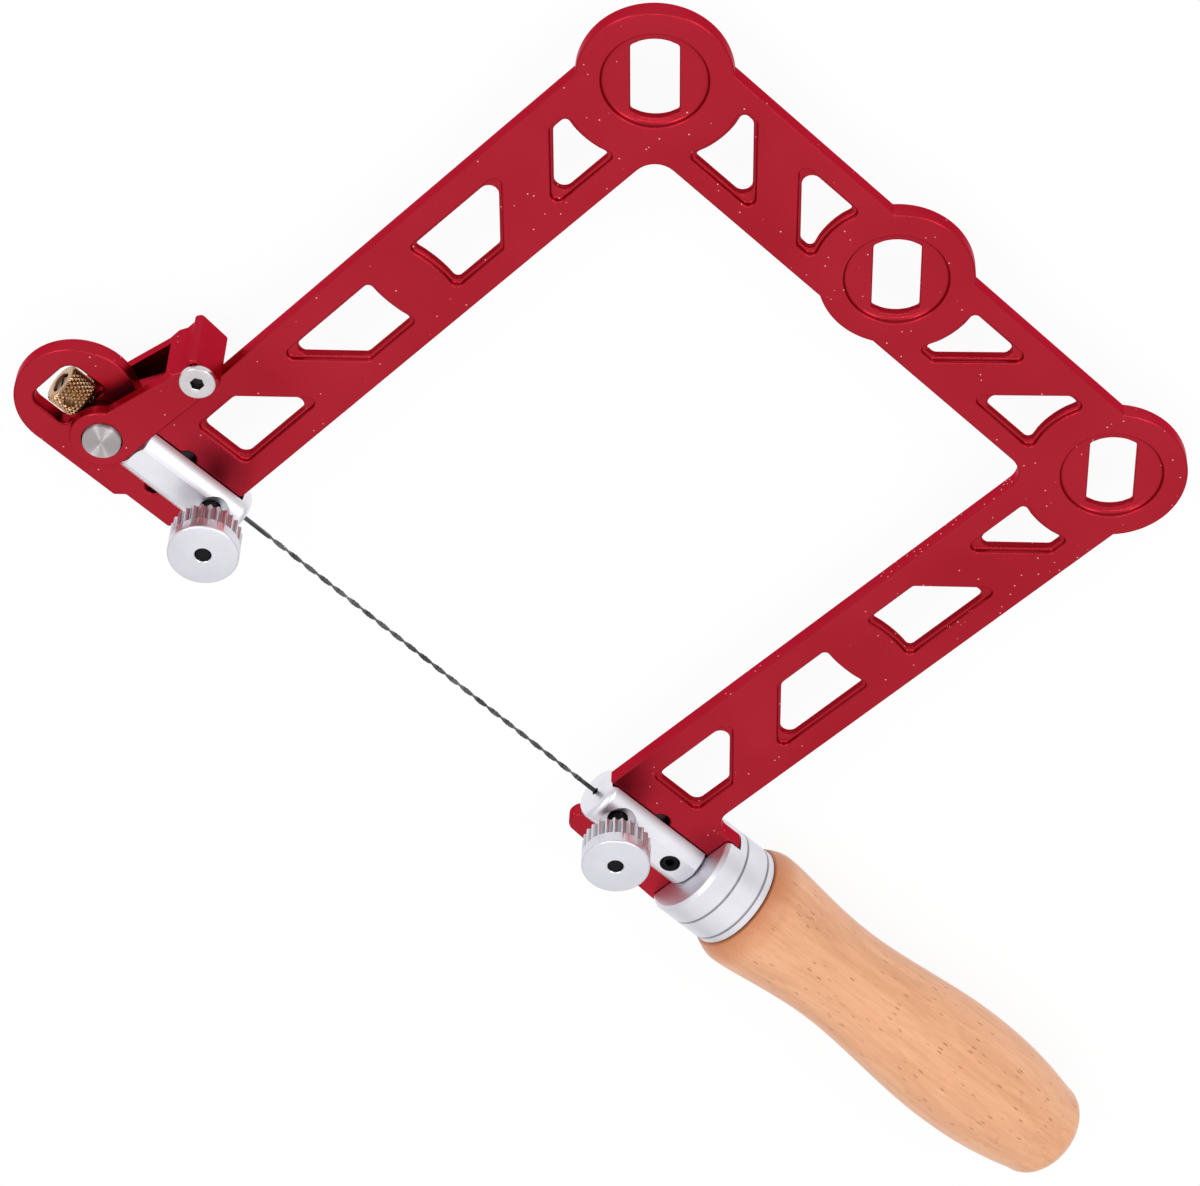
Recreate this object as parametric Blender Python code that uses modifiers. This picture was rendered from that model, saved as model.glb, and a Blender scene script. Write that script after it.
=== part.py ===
"""Jeweler saw frame: a flat aluminium plate with a lever-tensioned blade and a turned handle.

The working axes are: X along the blade towards the handle, Y from the blade towards the back bar,
Z out of the plate. The saw lies on its side, so Z is up.
"""
import math

import bmesh
import bpy
from mathutils import Matrix, Vector, geometry

MM = 0.001

# Clearances
GAP = 0.3 * MM
SLIDE_GAP = 0.3 * MM

# Plate
PLATE_T = 4.0 * MM
ARM_IN = 54.4 * MM
ARM_WIDTH = 24.1 * MM
BAR_IN = 127.5 * MM
BAR_WIDTH = 24.1 * MM
THROAT_FILLET = 5.0 * MM
EDGE_FILLET = 0.8 * MM

# Round bosses on the back bar
BOSS_R = 15.6 * MM
MID_BOSS_R = 15.8 * MM
CORNER_BOSS_IN = 11.9 * MM
CORNER_BOSS_DOWN = 12.0 * MM
MID_BOSS_DOWN = 10.3 * MM
BOSS_RECESS_R = 10.6 * MM
BOSS_SLOT_R = 8.9 * MM
BOSS_SLOT_HALF = 4.8 * MM
BOSS_SLOT_TURN = math.radians(135.0)

# Lightening holes: a through hole inside a shallow recess on both faces
HOLE_RIM = 6.0 * MM
HOLE_FILLET = 2.0 * MM
RECESS_FILLET = 1.5 * MM
LEDGE = 0.75 * MM
LEDGE_DEPTH = 1.2 * MM
CORNER_BOSS_RING = 3.2 * MM
ARM_BOSS_RING = 3.9 * MM
MID_BOSS_RING = 2.3 * MM
BAR_INNER_HOLE_UP = 0.8 * MM
HOLE_BOW = 0.6 * MM
BOW_SHARES = (0.3, 0.5, 0.7)
ARM_TOP_HOLE_SIDE = 3.7 * MM
ARM_LAND = 15.4 * MM
ARM_MID_SHARE = 0.555
ARM_MID_HALF = 6.55 * MM
ARM_LOWER_HOLE_FOOT = 39.0 * MM
ARM_FOOT_HOLE_FOOT = 13.6 * MM
BAR_HOLE_RIM = 5.1 * MM
BAR_OUTER_HOLE_TIP = 2.9 * MM
BAR_INNER_HOLE_TIP = 3.2 * MM

# Clamp bodies: round bars that ride in slots of the plate
CLAMP_R = 6.0 * MM
CLAMP_FLAT_Z = 5.4 * MM
CLAMP_CHAMFER = 1.2 * MM
UPPER_FRONT_X = -51.0 * MM
UPPER_LENGTH = 28.5 * MM
LOWER_FRONT_X = 54.9 * MM
LOWER_LENGTH = 29.0 * MM
SLOT_HALF = 5.2 * MM
SLOT_END_ROOM = 0.8 * MM
RELIEF_R = 1.8 * MM
UPPER_RELIEF_X = -69.0 * MM
LOWER_RELIEF_X = 70.0 * MM
SCREW_BACK = 6.8 * MM
SCOOP_R = 4.2 * MM
SCOOP_Z = 3.6 * MM
STUD_R = 2.0 * MM
BLADE_HOLE_HALF_Y = 2.0 * MM
BLADE_HOLE_HALF_Z = 0.9 * MM
BLADE_HOLE_DEPTH = 15.0 * MM
ANVIL_FOOT_Z = -5.6 * MM
SET_SCREW_X = 78.0 * MM
SET_SCREW_TOP_Z = 5.1 * MM
SET_SCREW_LENGTH = 4.4 * MM
SMALL_HEX = 2.0 * MM

# Clamp knobs
KNOB_R = 7.5 * MM
KNOB_BASE_Z = 11.5 * MM
KNOB_HEIGHT = 7.9 * MM
KNOB_CHAMFER = 0.5 * MM
FLUTE_COUNT = 26
FLUTE_R = 0.62 * MM
FLUTE_SHARE = 0.6

# Tension end of the plate
LOOP_X = -94.8 * MM
LOOP_R = 13.0 * MM
LOOP_END_ANGLE = 58.0
WINDOW_X0 = -102.3 * MM
WINDOW_X1 = -92.3 * MM
WINDOW_HALF = 6.5 * MM
STRIP_TIP_X = -59.6 * MM
STRIP_Y = -11.2 * MM
STRIP_STEP_X = -71.7 * MM
STRIP_STEP_RUN = 1.8 * MM
LEVER_SHOULDER_Y = 19.6 * MM
LEVER_SHOULDER_X = -84.0 * MM

# Handle end of the plate
TAB_Y = 12.6 * MM
TAB_END_X = 87.6 * MM
TAB_BRIDGE = 2.7 * MM
NECK_FILLET = 5.0 * MM
PRONG_TIP_X = 55.6 * MM
PRONG_TIP_Y = -10.6 * MM

# Tension lever and what it works on
PIN_X = -87.0 * MM
PIN_R = 4.0 * MM
PIN_TOP_Z = 8.8 * MM
PIN_TAIL_R = 3.2 * MM
PIN_TAIL_Z = -10.0 * MM
LEVER_HALF = 8.0 * MM
CHEEK_T = 2.8 * MM
LEVER_END_R = 6.15 * MM
LEVER_SHOULDER_ANGLE = 124.0
BLOCK_FOOT_Y = 20.6 * MM
LEVER_END_Y = 29.2 * MM
LEVER_OPEN = math.radians(65.0)
LEVER_TRAVEL = 0.8 * MM
HUB_BACK_R = 5.6 * MM
CROSS_SCREW_DX = 3.4 * MM
CROSS_SCREW_Y = 26.0 * MM
CROSS_HEAD_R = 3.75 * MM
CROSS_HEAD_H = 1.5 * MM
CROSS_SHANK_R = 2.0 * MM
CROSS_FOOT_Z = -4.0 * MM
CROSS_HEX = 2.6 * MM
ROD_R = 2.0 * MM
ROD_IN_CLAMP = 8.5 * MM
NUT_R = 4.6 * MM
NUT_LENGTH = 6.0 * MM
NUT_CHAMFER = 0.4 * MM
NUT_HOLE_R = 1.0 * MM
CLIP_R = 4.6 * MM
CLIP_T = 0.6 * MM
CLIP_GROOVE_R = 2.6 * MM

# Ferrule and handle
FERRULE_X0 = 84.2 * MM
FERRULE_X1 = 98.6 * MM
FERRULE_R = 12.25 * MM
FERRULE_CHAMFER = 0.6 * MM
GROOVE_BACKS = (8.4 * MM, 2.1 * MM)
GROOVE_W = 0.5 * MM
GROOVE_D = 0.35 * MM
LOCK_X = 86.4 * MM
LOCK_R = 1.5 * MM
LOCK_LENGTH = 9.0 * MM
HANDLE_LENGTH = 107.2 * MM
HANDLE_FRONT_R = 12.8 * MM
HANDLE_SHOULDER_R = 14.25 * MM
HANDLE_WAIST_R = 12.05 * MM
HANDLE_SWELL_R = 14.65 * MM
HANDLE_SHOULDER_AT = 0.044
HANDLE_WAIST_AT = 0.304
HANDLE_SWELL_AT = 0.674
HANDLE_BUTT_AT = 0.93
HANDLE_BUTT_R = 11.7 * MM
TANG_R = 2.5 * MM
TANG_X0 = 90.0 * MM
TANG_LENGTH = 36.0 * MM
INSERT_R = 4.5 * MM
INSERT_LENGTH = 18.0 * MM
BORE_ROOM = 2.9 * MM

# Spiral blade
BLADE_WIDTH = 1.15 * MM
BLADE_T = 0.5 * MM
BLADE_IN_CLAMP = 12.0 * MM
BLADE_UPPER_Y = 1.0 * MM
BLADE_LOWER_Y = -0.3 * MM
BLADE_TURN = 8.6 * MM
BLADE_FLAT_UPPER = 8.0 * MM
BLADE_FLAT_LOWER = 4.5 * MM
BLADE_STEPS_PER_TURN = 8

# Smoothness
ROUND_STEPS = 32
FILLET_STEPS = 3

ARM_OUT = ARM_IN + ARM_WIDTH
BAR_OUT = BAR_IN + BAR_WIDTH
CORNER_BOSS_X = ARM_OUT - CORNER_BOSS_IN
CORNER_BOSS_Y = BAR_OUT - CORNER_BOSS_DOWN
MID_BOSS_Y = BAR_OUT - MID_BOSS_DOWN
SLOT_REAR_X = UPPER_FRONT_X - UPPER_LENGTH - SLOT_END_ROOM
UPPER_SCREW_X = UPPER_FRONT_X - SCREW_BACK
LOWER_SCREW_X = LOWER_FRONT_X + SCREW_BACK
CHANNEL_HALF = ROD_R + 0.4 * MM
CAM_RATE = LEVER_TRAVEL / LEVER_OPEN
NUT_NEAR_X = PIN_X - LEVER_END_R - GAP
NUT_FAR_X = NUT_NEAR_X - NUT_LENGTH
HANDLE_X0 = FERRULE_X1 + GAP
HANDLE_X1 = HANDLE_X0 + HANDLE_LENGTH
LOW_X = LOOP_X - LOOP_R
TOP_Y = MID_BOSS_Y + MID_BOSS_R
ORIGIN_SHIFT = Vector((-(LOW_X + HANDLE_X1) / 2, -(TOP_Y - HANDLE_SWELL_R) / 2, HANDLE_SWELL_R))


for old in list(bpy.data.objects):
    bpy.data.objects.remove(old, do_unlink=True)

PARTS = bpy.data.collections.new("jeweler_saw_frame")
CUTTERS = bpy.data.collections.new("cutters")
bpy.context.scene.collection.children.link(PARTS)
bpy.context.scene.collection.children.link(CUTTERS)


def material(name, colour, roughness, metallic):
    mat = bpy.data.materials.new(name)
    mat.use_nodes = True
    shader = mat.node_tree.nodes["Principled BSDF"]
    shader.inputs["Base Color"].default_value = (*colour, 1.0)
    shader.inputs["Roughness"].default_value = roughness
    shader.inputs["Metallic"].default_value = metallic
    return mat


def empty(name, location, parent=None):
    obj = bpy.data.objects.new(name, None)
    obj.empty_display_size = 5 * MM
    obj.location = location
    obj.parent = parent
    PARTS.objects.link(obj)
    return obj


def arc(cx, cy, r, a0, a1, steps):
    """Points on an arc, both ends included, angles in degrees."""
    pts = []
    for i in range(steps + 1):
        a = math.radians(a0 + (a1 - a0) * i / steps)
        pts.append((cx + r * math.cos(a), cy + r * math.sin(a)))
    return pts


def rounded(corners):
    """An outline from (x, y, fillet radius) corners; the radius may be left out."""
    pts = []
    count = len(corners)
    for i, corner in enumerate(corners):
        here = Vector(corner[:2])
        r = corner[2] if len(corner) > 2 else 0.0
        if r <= 0.0:
            pts.append((here.x, here.y))
            continue
        before = Vector(corners[i - 1][:2]) - here
        after = Vector(corners[(i + 1) % count][:2]) - here
        room = 0.49 * min(before.length, after.length)
        before.normalize()
        after.normalize()
        half = before.angle(after) / 2
        reach = min(r / math.tan(half), room)
        r = reach * math.tan(half)
        centre = here + (before + after).normalized() * (r / math.sin(half))
        start = here + before * reach - centre
        end = here + after * reach - centre
        turn = start.angle_signed(end)
        for k in range(FILLET_STEPS + 1):
            a = -turn * k / FILLET_STEPS
            c = math.cos(a)
            s = math.sin(a)
            pts.append((centre.x + start.x * c - start.y * s, centre.y + start.x * s + start.y * c))
    return pts


def grown(outline, d):
    """An outline moved outwards by d."""
    area = 0.0
    for i, p in enumerate(outline):
        q = outline[(i + 1) % len(outline)]
        area += p[0] * q[1] - q[0] * p[1]
    sign = 1.0 if area > 0 else -1.0
    lines = []
    for i, p in enumerate(outline):
        q = outline[(i + 1) % len(outline)]
        t = Vector((q[0] - p[0], q[1] - p[1])).normalized()
        n = Vector((t.y, -t.x)) * sign
        lines.append((Vector(p[:2]) + n * d, t))
    pts = []
    for i, (p, t) in enumerate(lines):
        p0, t0 = lines[i - 1]
        k = ((p.x - p0.x) * t.y - (p.y - p0.y) * t.x) / (t0.x * t.y - t0.y * t.x)
        pts.append((p0.x + t0.x * k, p0.y + t0.y * k))
    return pts


def bowed(start, end, rise):
    """Points of an arc from start to end that bows to the left by rise."""
    start = Vector(start)
    end = Vector(end)
    chord = (end - start).length
    side = Vector((start.y - end.y, end.x - start.x)) / chord
    r = chord * chord / (8 * rise) + rise / 2
    pts = []
    for share in BOW_SHARES:
        depth = math.sqrt(r * r - ((share - 0.5) * chord) ** 2) - (r - rise)
        p = start.lerp(end, share) + side * depth
        pts.append((p.x, p.y))
    return pts


def with_fillet(outline, corners, r):
    """An outline with its corners filleted; its other points stay as they are."""
    return rounded([(x, y, r) if p in corners else (x, y) for p, (x, y) in enumerate(outline)])


def mirrored(outline):
    return [(-x, y) for x, y in outline]


def add(obj, collection, parent, mat=None):
    collection.objects.link(obj)
    obj.parent = parent
    if mat is not None:
        obj.data.materials.append(mat)
        obj.data.shade_smooth()
        obj.data.set_sharp_from_angle(angle=math.radians(30))
    if collection is CUTTERS:
        obj.hide_render = True
        obj.display_type = 'WIRE'
    return obj


def outline_mesh(name, loops, z0, z1):
    """A flat piece: outlines, holes included, raised from z0 to z1."""
    curve = bpy.data.curves.new(name, 'CURVE')
    curve.dimensions = '2D'
    curve.fill_mode = 'BOTH'
    curve.extrude = (z1 - z0) / 2
    for loop in loops:
        spline = curve.splines.new('POLY')
        spline.points.add(len(loop) - 1)
        for point, (x, y) in zip(spline.points, loop):
            point.co = (x, y, 0.0, 1.0)
        spline.use_cyclic_u = True
    holder = bpy.data.objects.new(name, curve)
    bpy.context.scene.collection.objects.link(holder)
    graph = bpy.context.evaluated_depsgraph_get()
    mesh = bpy.data.meshes.new_from_object(holder.evaluated_get(graph))
    mesh.name = name
    bpy.data.objects.remove(holder)
    bm = bmesh.new()
    bm.from_mesh(mesh)
    bmesh.ops.remove_doubles(bm, verts=bm.verts, dist=1e-7)
    bmesh.ops.dissolve_limit(bm, angle_limit=math.radians(0.5), verts=bm.verts, edges=bm.edges)
    bmesh.ops.triangulate(bm, faces=bm.faces, ngon_method='BEAUTY')
    bmesh.ops.translate(bm, verts=bm.verts, vec=(0, 0, (z0 + z1) / 2))
    bmesh.ops.recalc_face_normals(bm, faces=bm.faces)
    bm.to_mesh(mesh)
    bm.free()
    return mesh


def inside(point, loop):
    """Whether a point lies inside a closed outline."""
    x, y = point
    hit = False
    for i, (x1, y1) in enumerate(loop):
        x0, y0 = loop[i - 1]
        if (y0 > y) != (y1 > y) and x < x0 + (x1 - x0) * (y - y0) / (y1 - y0):
            hit = not hit
    return hit


def stepped_plate(name, outer, recesses, holes, half_t, step):
    """The upper half of a plate pierced by holes, each inside a shallow recess; a Mirror adds the rest."""
    points = []
    edges = []
    for loop in [outer] + recesses + holes:
        first = len(points)
        points += [Vector(p) for p in loop]
        edges += [(first + i, first + (i + 1) % len(loop)) for i in range(len(loop))]
    filled = geometry.delaunay_2d_cdt(points, edges, [], 0, 1e-8)
    flat, faces, origins = filled[0], filled[2], filled[3]
    holes_from = len(points) - sum(len(h) for h in holes)
    bm = bmesh.new()
    levels = {}
    kinds = {}

    def vert(index, z):
        key = (index, z)
        if key not in levels:
            levels[key] = bm.verts.new((flat[index].x, flat[index].y, z))
            origin = origins[index][0]
            inner_kind = "hole" if origin >= holes_from else "ledge"
            kinds[levels[key]] = "rim" if origin < len(outer) else inner_kind
        return levels[key]

    for face in faces:
        middle = sum((flat[i] for i in face), Vector((0, 0))) / len(face)
        if not inside(middle, outer) or any(inside(middle, h) for h in holes):
            continue
        z = half_t - step if any(inside(middle, r) for r in recesses) else half_t
        bm.faces.new([vert(i, z) for i in face])
    for edge in [e for e in bm.edges if len(e.link_faces) == 1]:
        kind = kinds[edge.verts[0]]
        z = edge.verts[0].co.z
        if kind == "ledge" and z < half_t - step / 2:
            continue
        down = step if kind == "ledge" else z
        new = bmesh.ops.extrude_edge_only(bm, edges=[edge])["geom"]
        for v in [g for g in new if isinstance(g, bmesh.types.BMVert)]:
            v.co.z -= down
    bmesh.ops.remove_doubles(bm, verts=bm.verts, dist=1e-7)
    bmesh.ops.recalc_face_normals(bm, faces=bm.faces)
    if sum(f.normal.z * f.calc_area() for f in bm.faces) < 0:
        bmesh.ops.reverse_faces(bm, faces=bm.faces)
    mesh = bpy.data.meshes.new(name)
    bm.to_mesh(mesh)
    bm.free()
    return mesh


def turned(name, profile, collection, parent, mat=None, along_x=False, steps=ROUND_STEPS):
    """A turned piece: (height, radius) pairs from the high end to the low end."""
    mesh = bpy.data.meshes.new(name)
    bm = bmesh.new()
    verts = [bm.verts.new((r, 0, h)) for h, r in profile]
    for a, b in zip(verts, verts[1:]):
        bm.edges.new((a, b))
    if profile[0][1] > 0:
        bm.edges.new((verts[-1], verts[0]))
    bm.to_mesh(mesh)
    bm.free()
    obj = bpy.data.objects.new(name, mesh)
    screw = obj.modifiers.new("turn", 'SCREW')
    screw.steps = steps
    screw.render_steps = steps
    screw.use_merge_vertices = True
    screw.merge_threshold = 1e-6
    if along_x:
        obj.rotation_euler = (0, math.pi / 2, 0)
    return add(obj, collection, parent, mat)


def drill(name, r, start, end, parent, steps=24):
    """A round cutter from start to end."""
    start = Vector(start)
    axis = Vector(end) - start
    mesh = bpy.data.meshes.new(name)
    bm = bmesh.new()
    turn = axis.to_track_quat('Z', 'Y').to_matrix().to_4x4()
    half_step = Matrix.Rotation(math.pi / steps * 0.7, 4, 'Z')
    place = Matrix.Translation(start + axis / 2) @ turn @ half_step
    bmesh.ops.create_cone(bm, cap_ends=True, segments=steps, radius1=r, radius2=r, depth=axis.length,
                          matrix=place)
    bm.to_mesh(mesh)
    bm.free()
    return add(bpy.data.objects.new(name, mesh), CUTTERS, parent)


def block(name, low, high, parent):
    """A square cutter between two corners."""
    low = Vector(low)
    high = Vector(high)
    mesh = bpy.data.meshes.new(name)
    bm = bmesh.new()
    bmesh.ops.create_cube(bm, size=1.0)
    bmesh.ops.scale(bm, verts=bm.verts, vec=high - low)
    bmesh.ops.translate(bm, verts=bm.verts, vec=(low + high) / 2)
    bm.to_mesh(mesh)
    bm.free()
    return add(bpy.data.objects.new(name, mesh), CUTTERS, parent)


def combine(obj, other, operation='DIFFERENCE'):
    mod = obj.modifiers.new(operation.lower(), 'BOOLEAN')
    mod.operation = operation
    mod.object = other
    mod.solver = 'EXACT'


def hexagon(cx, cy, flats, turn=0.0):
    return [p for p in arc(cx, cy, flats / math.sqrt(3), turn, turn + 300, 5)]


RED = material("red_anodised_aluminium", (0.40, 0.017, 0.03), 0.38, 0.85)
SILVER = material("satin_aluminium", (0.72, 0.72, 0.75), 0.42, 1.0)
STEEL = material("turned_steel", (0.62, 0.61, 0.60), 0.28, 1.0)
BRASS = material("brass", (0.72, 0.45, 0.20), 0.35, 1.0)
BLACK = material("black_oxide_steel", (0.015, 0.015, 0.017), 0.45, 0.7)
BLADE_STEEL = material("blade_steel", (0.08, 0.08, 0.085), 0.4, 1.0)
WOOD = material("beech", (0.66, 0.36, 0.17), 0.5, 0.0)

SAW = empty("saw_axes", ORIGIN_SHIFT)
LEVER_AXIS = empty("lever_axis", (PIN_X, 0, 0), SAW)
CARRIAGE = empty("carriage_axis", (UPPER_FRONT_X, 0, 0), SAW)
NUT_AXIS = empty("tension_nut_axis", (NUT_NEAR_X, 0, 0), SAW)
UPPER_SCREW = empty("upper_screw_axis", (UPPER_SCREW_X, 0, 0), SAW)
LOWER_SCREW = empty("lower_screw_axis", (LOWER_SCREW_X, 0, 0), SAW)


# Frame plate

def plate_outline():
    half_t = SLOT_HALF
    pts = []
    pts.append((ARM_IN, half_t))
    # Throat: up the lower arm, along the back bar and down the upper arm
    inner = rounded([(ARM_IN, 0), (ARM_IN, BAR_IN, THROAT_FILLET), (0, BAR_IN)])[1:-1]
    pts += inner
    drop = MID_BOSS_Y - BAR_IN
    if drop < MID_BOSS_R:
        a = math.degrees(math.asin(drop / MID_BOSS_R))
        pts += arc(0, MID_BOSS_Y, MID_BOSS_R, -a, -180 + a, 6)
    pts += [(-x, y) for x, y in reversed(inner)]
    pts.append((-ARM_IN, half_t))
    # Slot of the upper clamp, the way through for the draw rod and the nut's window
    pts += arc(UPPER_RELIEF_X, half_t, RELIEF_R, 0, 180, 6)
    hole_r = PIN_R + GAP
    a = math.degrees(math.asin(CHANNEL_HALF / hole_r))
    upper = [(SLOT_REAR_X, half_t), (SLOT_REAR_X, CHANNEL_HALF)]
    upper += arc(PIN_X, 0, hole_r, a, 180 - a, 12)
    upper.append((WINDOW_X1, CHANNEL_HALF))
    window = rounded([(WINDOW_X1, 0), (WINDOW_X1, WINDOW_HALF, 1.5 * MM),
                      (WINDOW_X0, WINDOW_HALF, 3 * MM), (WINDOW_X0, 0)])[1:-1]
    pts += upper + window
    pts += [(x, -y) for x, y in reversed(window)]
    pts += [(x, -y) for x, y in reversed(upper)]
    pts += arc(UPPER_RELIEF_X, -half_t, RELIEF_R, 180, 360, 6)
    # Strip beside the slot, the round loop end and the seat under the lever
    loop_y = -LOOP_R
    strip = [(STRIP_TIP_X - 8 * MM, -half_t), (STRIP_TIP_X, -half_t, EDGE_FILLET),
             (STRIP_TIP_X, STRIP_Y, EDGE_FILLET), (STRIP_STEP_X, STRIP_Y, EDGE_FILLET),
             (STRIP_STEP_X - STRIP_STEP_RUN, loop_y, EDGE_FILLET), (LOOP_X + 5 * MM, loop_y)]
    pts += rounded(strip)[1:]
    pts += arc(LOOP_X, 0, LOOP_R, 270, 180, 9) + arc(LOOP_X, 0, LOOP_R, 180, LOOP_END_ANGLE, 12)[1:]
    seat = [pts[-1], (LEVER_SHOULDER_X, LEVER_SHOULDER_Y, EDGE_FILLET),
            (-ARM_OUT, LEVER_SHOULDER_Y, EDGE_FILLET / 2), (-ARM_OUT, BAR_IN)]
    pts += rounded(seat)[1:-1]
    # Outer side: corner boss, middle boss, corner boss
    ax = math.degrees(math.acos((ARM_OUT - CORNER_BOSS_X) / BOSS_R))
    ay = math.degrees(math.asin((BAR_OUT - CORNER_BOSS_Y) / BOSS_R))
    pts += arc(-CORNER_BOSS_X, CORNER_BOSS_Y, BOSS_R, 180 + ax, ay, 16)
    am = math.degrees(math.asin((BAR_OUT - MID_BOSS_Y) / MID_BOSS_R))
    pts += arc(0, MID_BOSS_Y, MID_BOSS_R, 180 - am, am, 10)
    pts += arc(CORNER_BOSS_X, CORNER_BOSS_Y, BOSS_R, 180 - ay, -ax, 16)
    # Neck into the ferrule, prong and slot of the lower clamp
    slot_end = TAB_END_X - TAB_BRIDGE
    foot = [(ARM_OUT, BAR_IN), (ARM_OUT, TAB_Y, NECK_FILLET), (TAB_END_X, TAB_Y, 0.4 * MM),
            (TAB_END_X, -TAB_Y, 0.4 * MM), (FERRULE_X0, -TAB_Y), (PRONG_TIP_X, PRONG_TIP_Y, 2.6 * MM),
            (PRONG_TIP_X, -half_t, 2.6 * MM), (LOWER_RELIEF_X - 2 * RELIEF_R, -half_t)]
    pts += rounded(foot)[1:-1]
    pts += arc(LOWER_RELIEF_X, -half_t, RELIEF_R, 180, 360, 6)
    pts += [(slot_end, -half_t), (slot_end, half_t)]
    pts += arc(LOWER_RELIEF_X, half_t, RELIEF_R, 0, 180, 6)
    return pts


def round_boss(centre, r, x=None, y=None):
    """The point of a circle round a boss at a given x below it, or at a given y on its inner side."""
    if y is None:
        return (x, centre[1] - math.sqrt(r * r - (x - centre[0]) ** 2))
    reach = math.sqrt(r * r - (y - centre[1]) ** 2)
    return (centre[0] + reach if centre[0] == 0.0 else centre[0] - reach, y)


def chord_rise(start, end, r):
    """How far an arc of radius r rises over the chord from start to end."""
    half = (Vector(end) - Vector(start)).length / 2
    return r - math.sqrt(r * r - half * half)


def hole_outlines():
    """Outlines of the holes; an edge beside a boss or the middle of an arm is an arc."""
    x0 = ARM_IN + HOLE_RIM
    x1 = ARM_OUT - HOLE_RIM
    y0 = BAR_IN + BAR_HOLE_RIM
    y1 = BAR_OUT - BAR_HOLE_RIM
    corner_boss = (CORNER_BOSS_X, CORNER_BOSS_Y)
    mid_boss = (0.0, MID_BOSS_Y)
    corner_r = BOSS_R + CORNER_BOSS_RING
    mid_r = MID_BOSS_R + MID_BOSS_RING
    arm_r = BOSS_R + ARM_BOSS_RING
    top_right = round_boss(corner_boss, arm_r, x=x1)
    top_left = round_boss(corner_boss, arm_r, x=x0)
    run = x1 - x0
    top_y = top_right[1] - ARM_TOP_HOLE_SIDE
    top = [(x0, top_y - run), (x1, top_y), top_right]
    top += bowed(top_right, top_left, chord_rise(top_right, top_left, arm_r)) + [top_left]
    mid_y = ARM_MID_SHARE * BAR_IN
    over = mid_y + ARM_MID_HALF
    under = mid_y - ARM_MID_HALF
    upper = [(x0, over)] + bowed((x0, over), (x1, over), HOLE_BOW)
    upper += [(x1, over), (x1, top_y - ARM_LAND), (x0, top_y - run - ARM_LAND)]
    low_y = ARM_LOWER_HOLE_FOOT
    lower = [(x0, low_y + run), (x1, low_y), (x1, under)]
    lower += bowed((x1, under), (x0, under), HOLE_BOW) + [(x0, under)]
    foot = [(x0, ARM_FOOT_HOLE_FOOT), (x1, ARM_FOOT_HOLE_FOOT), (x1, low_y - ARM_LAND),
            (x0, low_y + run - ARM_LAND)]
    near = round_boss(corner_boss, corner_r, y=y0)
    far = round_boss(corner_boss, corner_r, y=y1)
    tip = far[0] - BAR_OUTER_HOLE_TIP
    outer = [(tip - (y1 - y0), y0), near]
    outer += bowed(near, far, chord_rise(near, far, corner_r)) + [far, (tip, y1)]
    foot_y = y0 + BAR_INNER_HOLE_UP
    near = round_boss(mid_boss, mid_r, y=foot_y)
    far = round_boss(mid_boss, mid_r, y=y1)
    tip = near[0] + BAR_INNER_HOLE_TIP
    inner = [near, (tip, foot_y), (tip + y1 - foot_y, y1), far]
    inner += bowed(far, near, chord_rise(far, near, mid_r))
    half = [top, upper, lower, foot, outer, inner]
    return half + [mirrored(h) for h in half]


def hole_corners(outline):
    """The places of an outline's real corners, as against the points of its arcs."""
    found = []
    for i, p in enumerate(outline):
        before = Vector(p) - Vector(outline[i - 1])
        after = Vector(outline[(i + 1) % len(outline)]) - Vector(p)
        if before.angle(after) > math.radians(25):
            found.append(i)
    return found


def boss_slot(cx, cy):
    """A round hole with two flats, turned across the bar."""
    a = math.degrees(math.asin(BOSS_SLOT_HALF / BOSS_SLOT_R))
    ends = arc(0, 0, BOSS_SLOT_R, -a, a, 6) + arc(0, 0, BOSS_SLOT_R, 180 - a, 180 + a, 6)
    c = math.cos(BOSS_SLOT_TURN)
    s = math.sin(BOSS_SLOT_TURN)
    return [(cx + x * c - y * s, cy + x * s + y * c) for x, y in ends]


BOSSES = ((-CORNER_BOSS_X, CORNER_BOSS_Y), (0.0, MID_BOSS_Y), (CORNER_BOSS_X, CORNER_BOSS_Y))
HOLES = hole_outlines()
hole_loops = [with_fillet(h, hole_corners(h), HOLE_FILLET) for h in HOLES]
hole_loops += [boss_slot(x, y) for x, y in BOSSES]
recess_loops = [with_fillet(grown(h, LEDGE), hole_corners(h), RECESS_FILLET) for h in HOLES]
recess_loops += [arc(x, y, BOSS_RECESS_R, 0, 348, 29) for x, y in BOSSES]
HALF_T = PLATE_T / 2
plate_mesh = stepped_plate("frame_plate", plate_outline(), recess_loops, hole_loops, HALF_T, LEDGE_DEPTH)
frame_plate = add(bpy.data.objects.new("frame_plate", plate_mesh), PARTS, SAW, RED)
back_half = frame_plate.modifiers.new("back_half", 'MIRROR')
back_half.use_axis = (False, False, True)
back_half.merge_threshold = 1e-6


# Clamps

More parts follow.
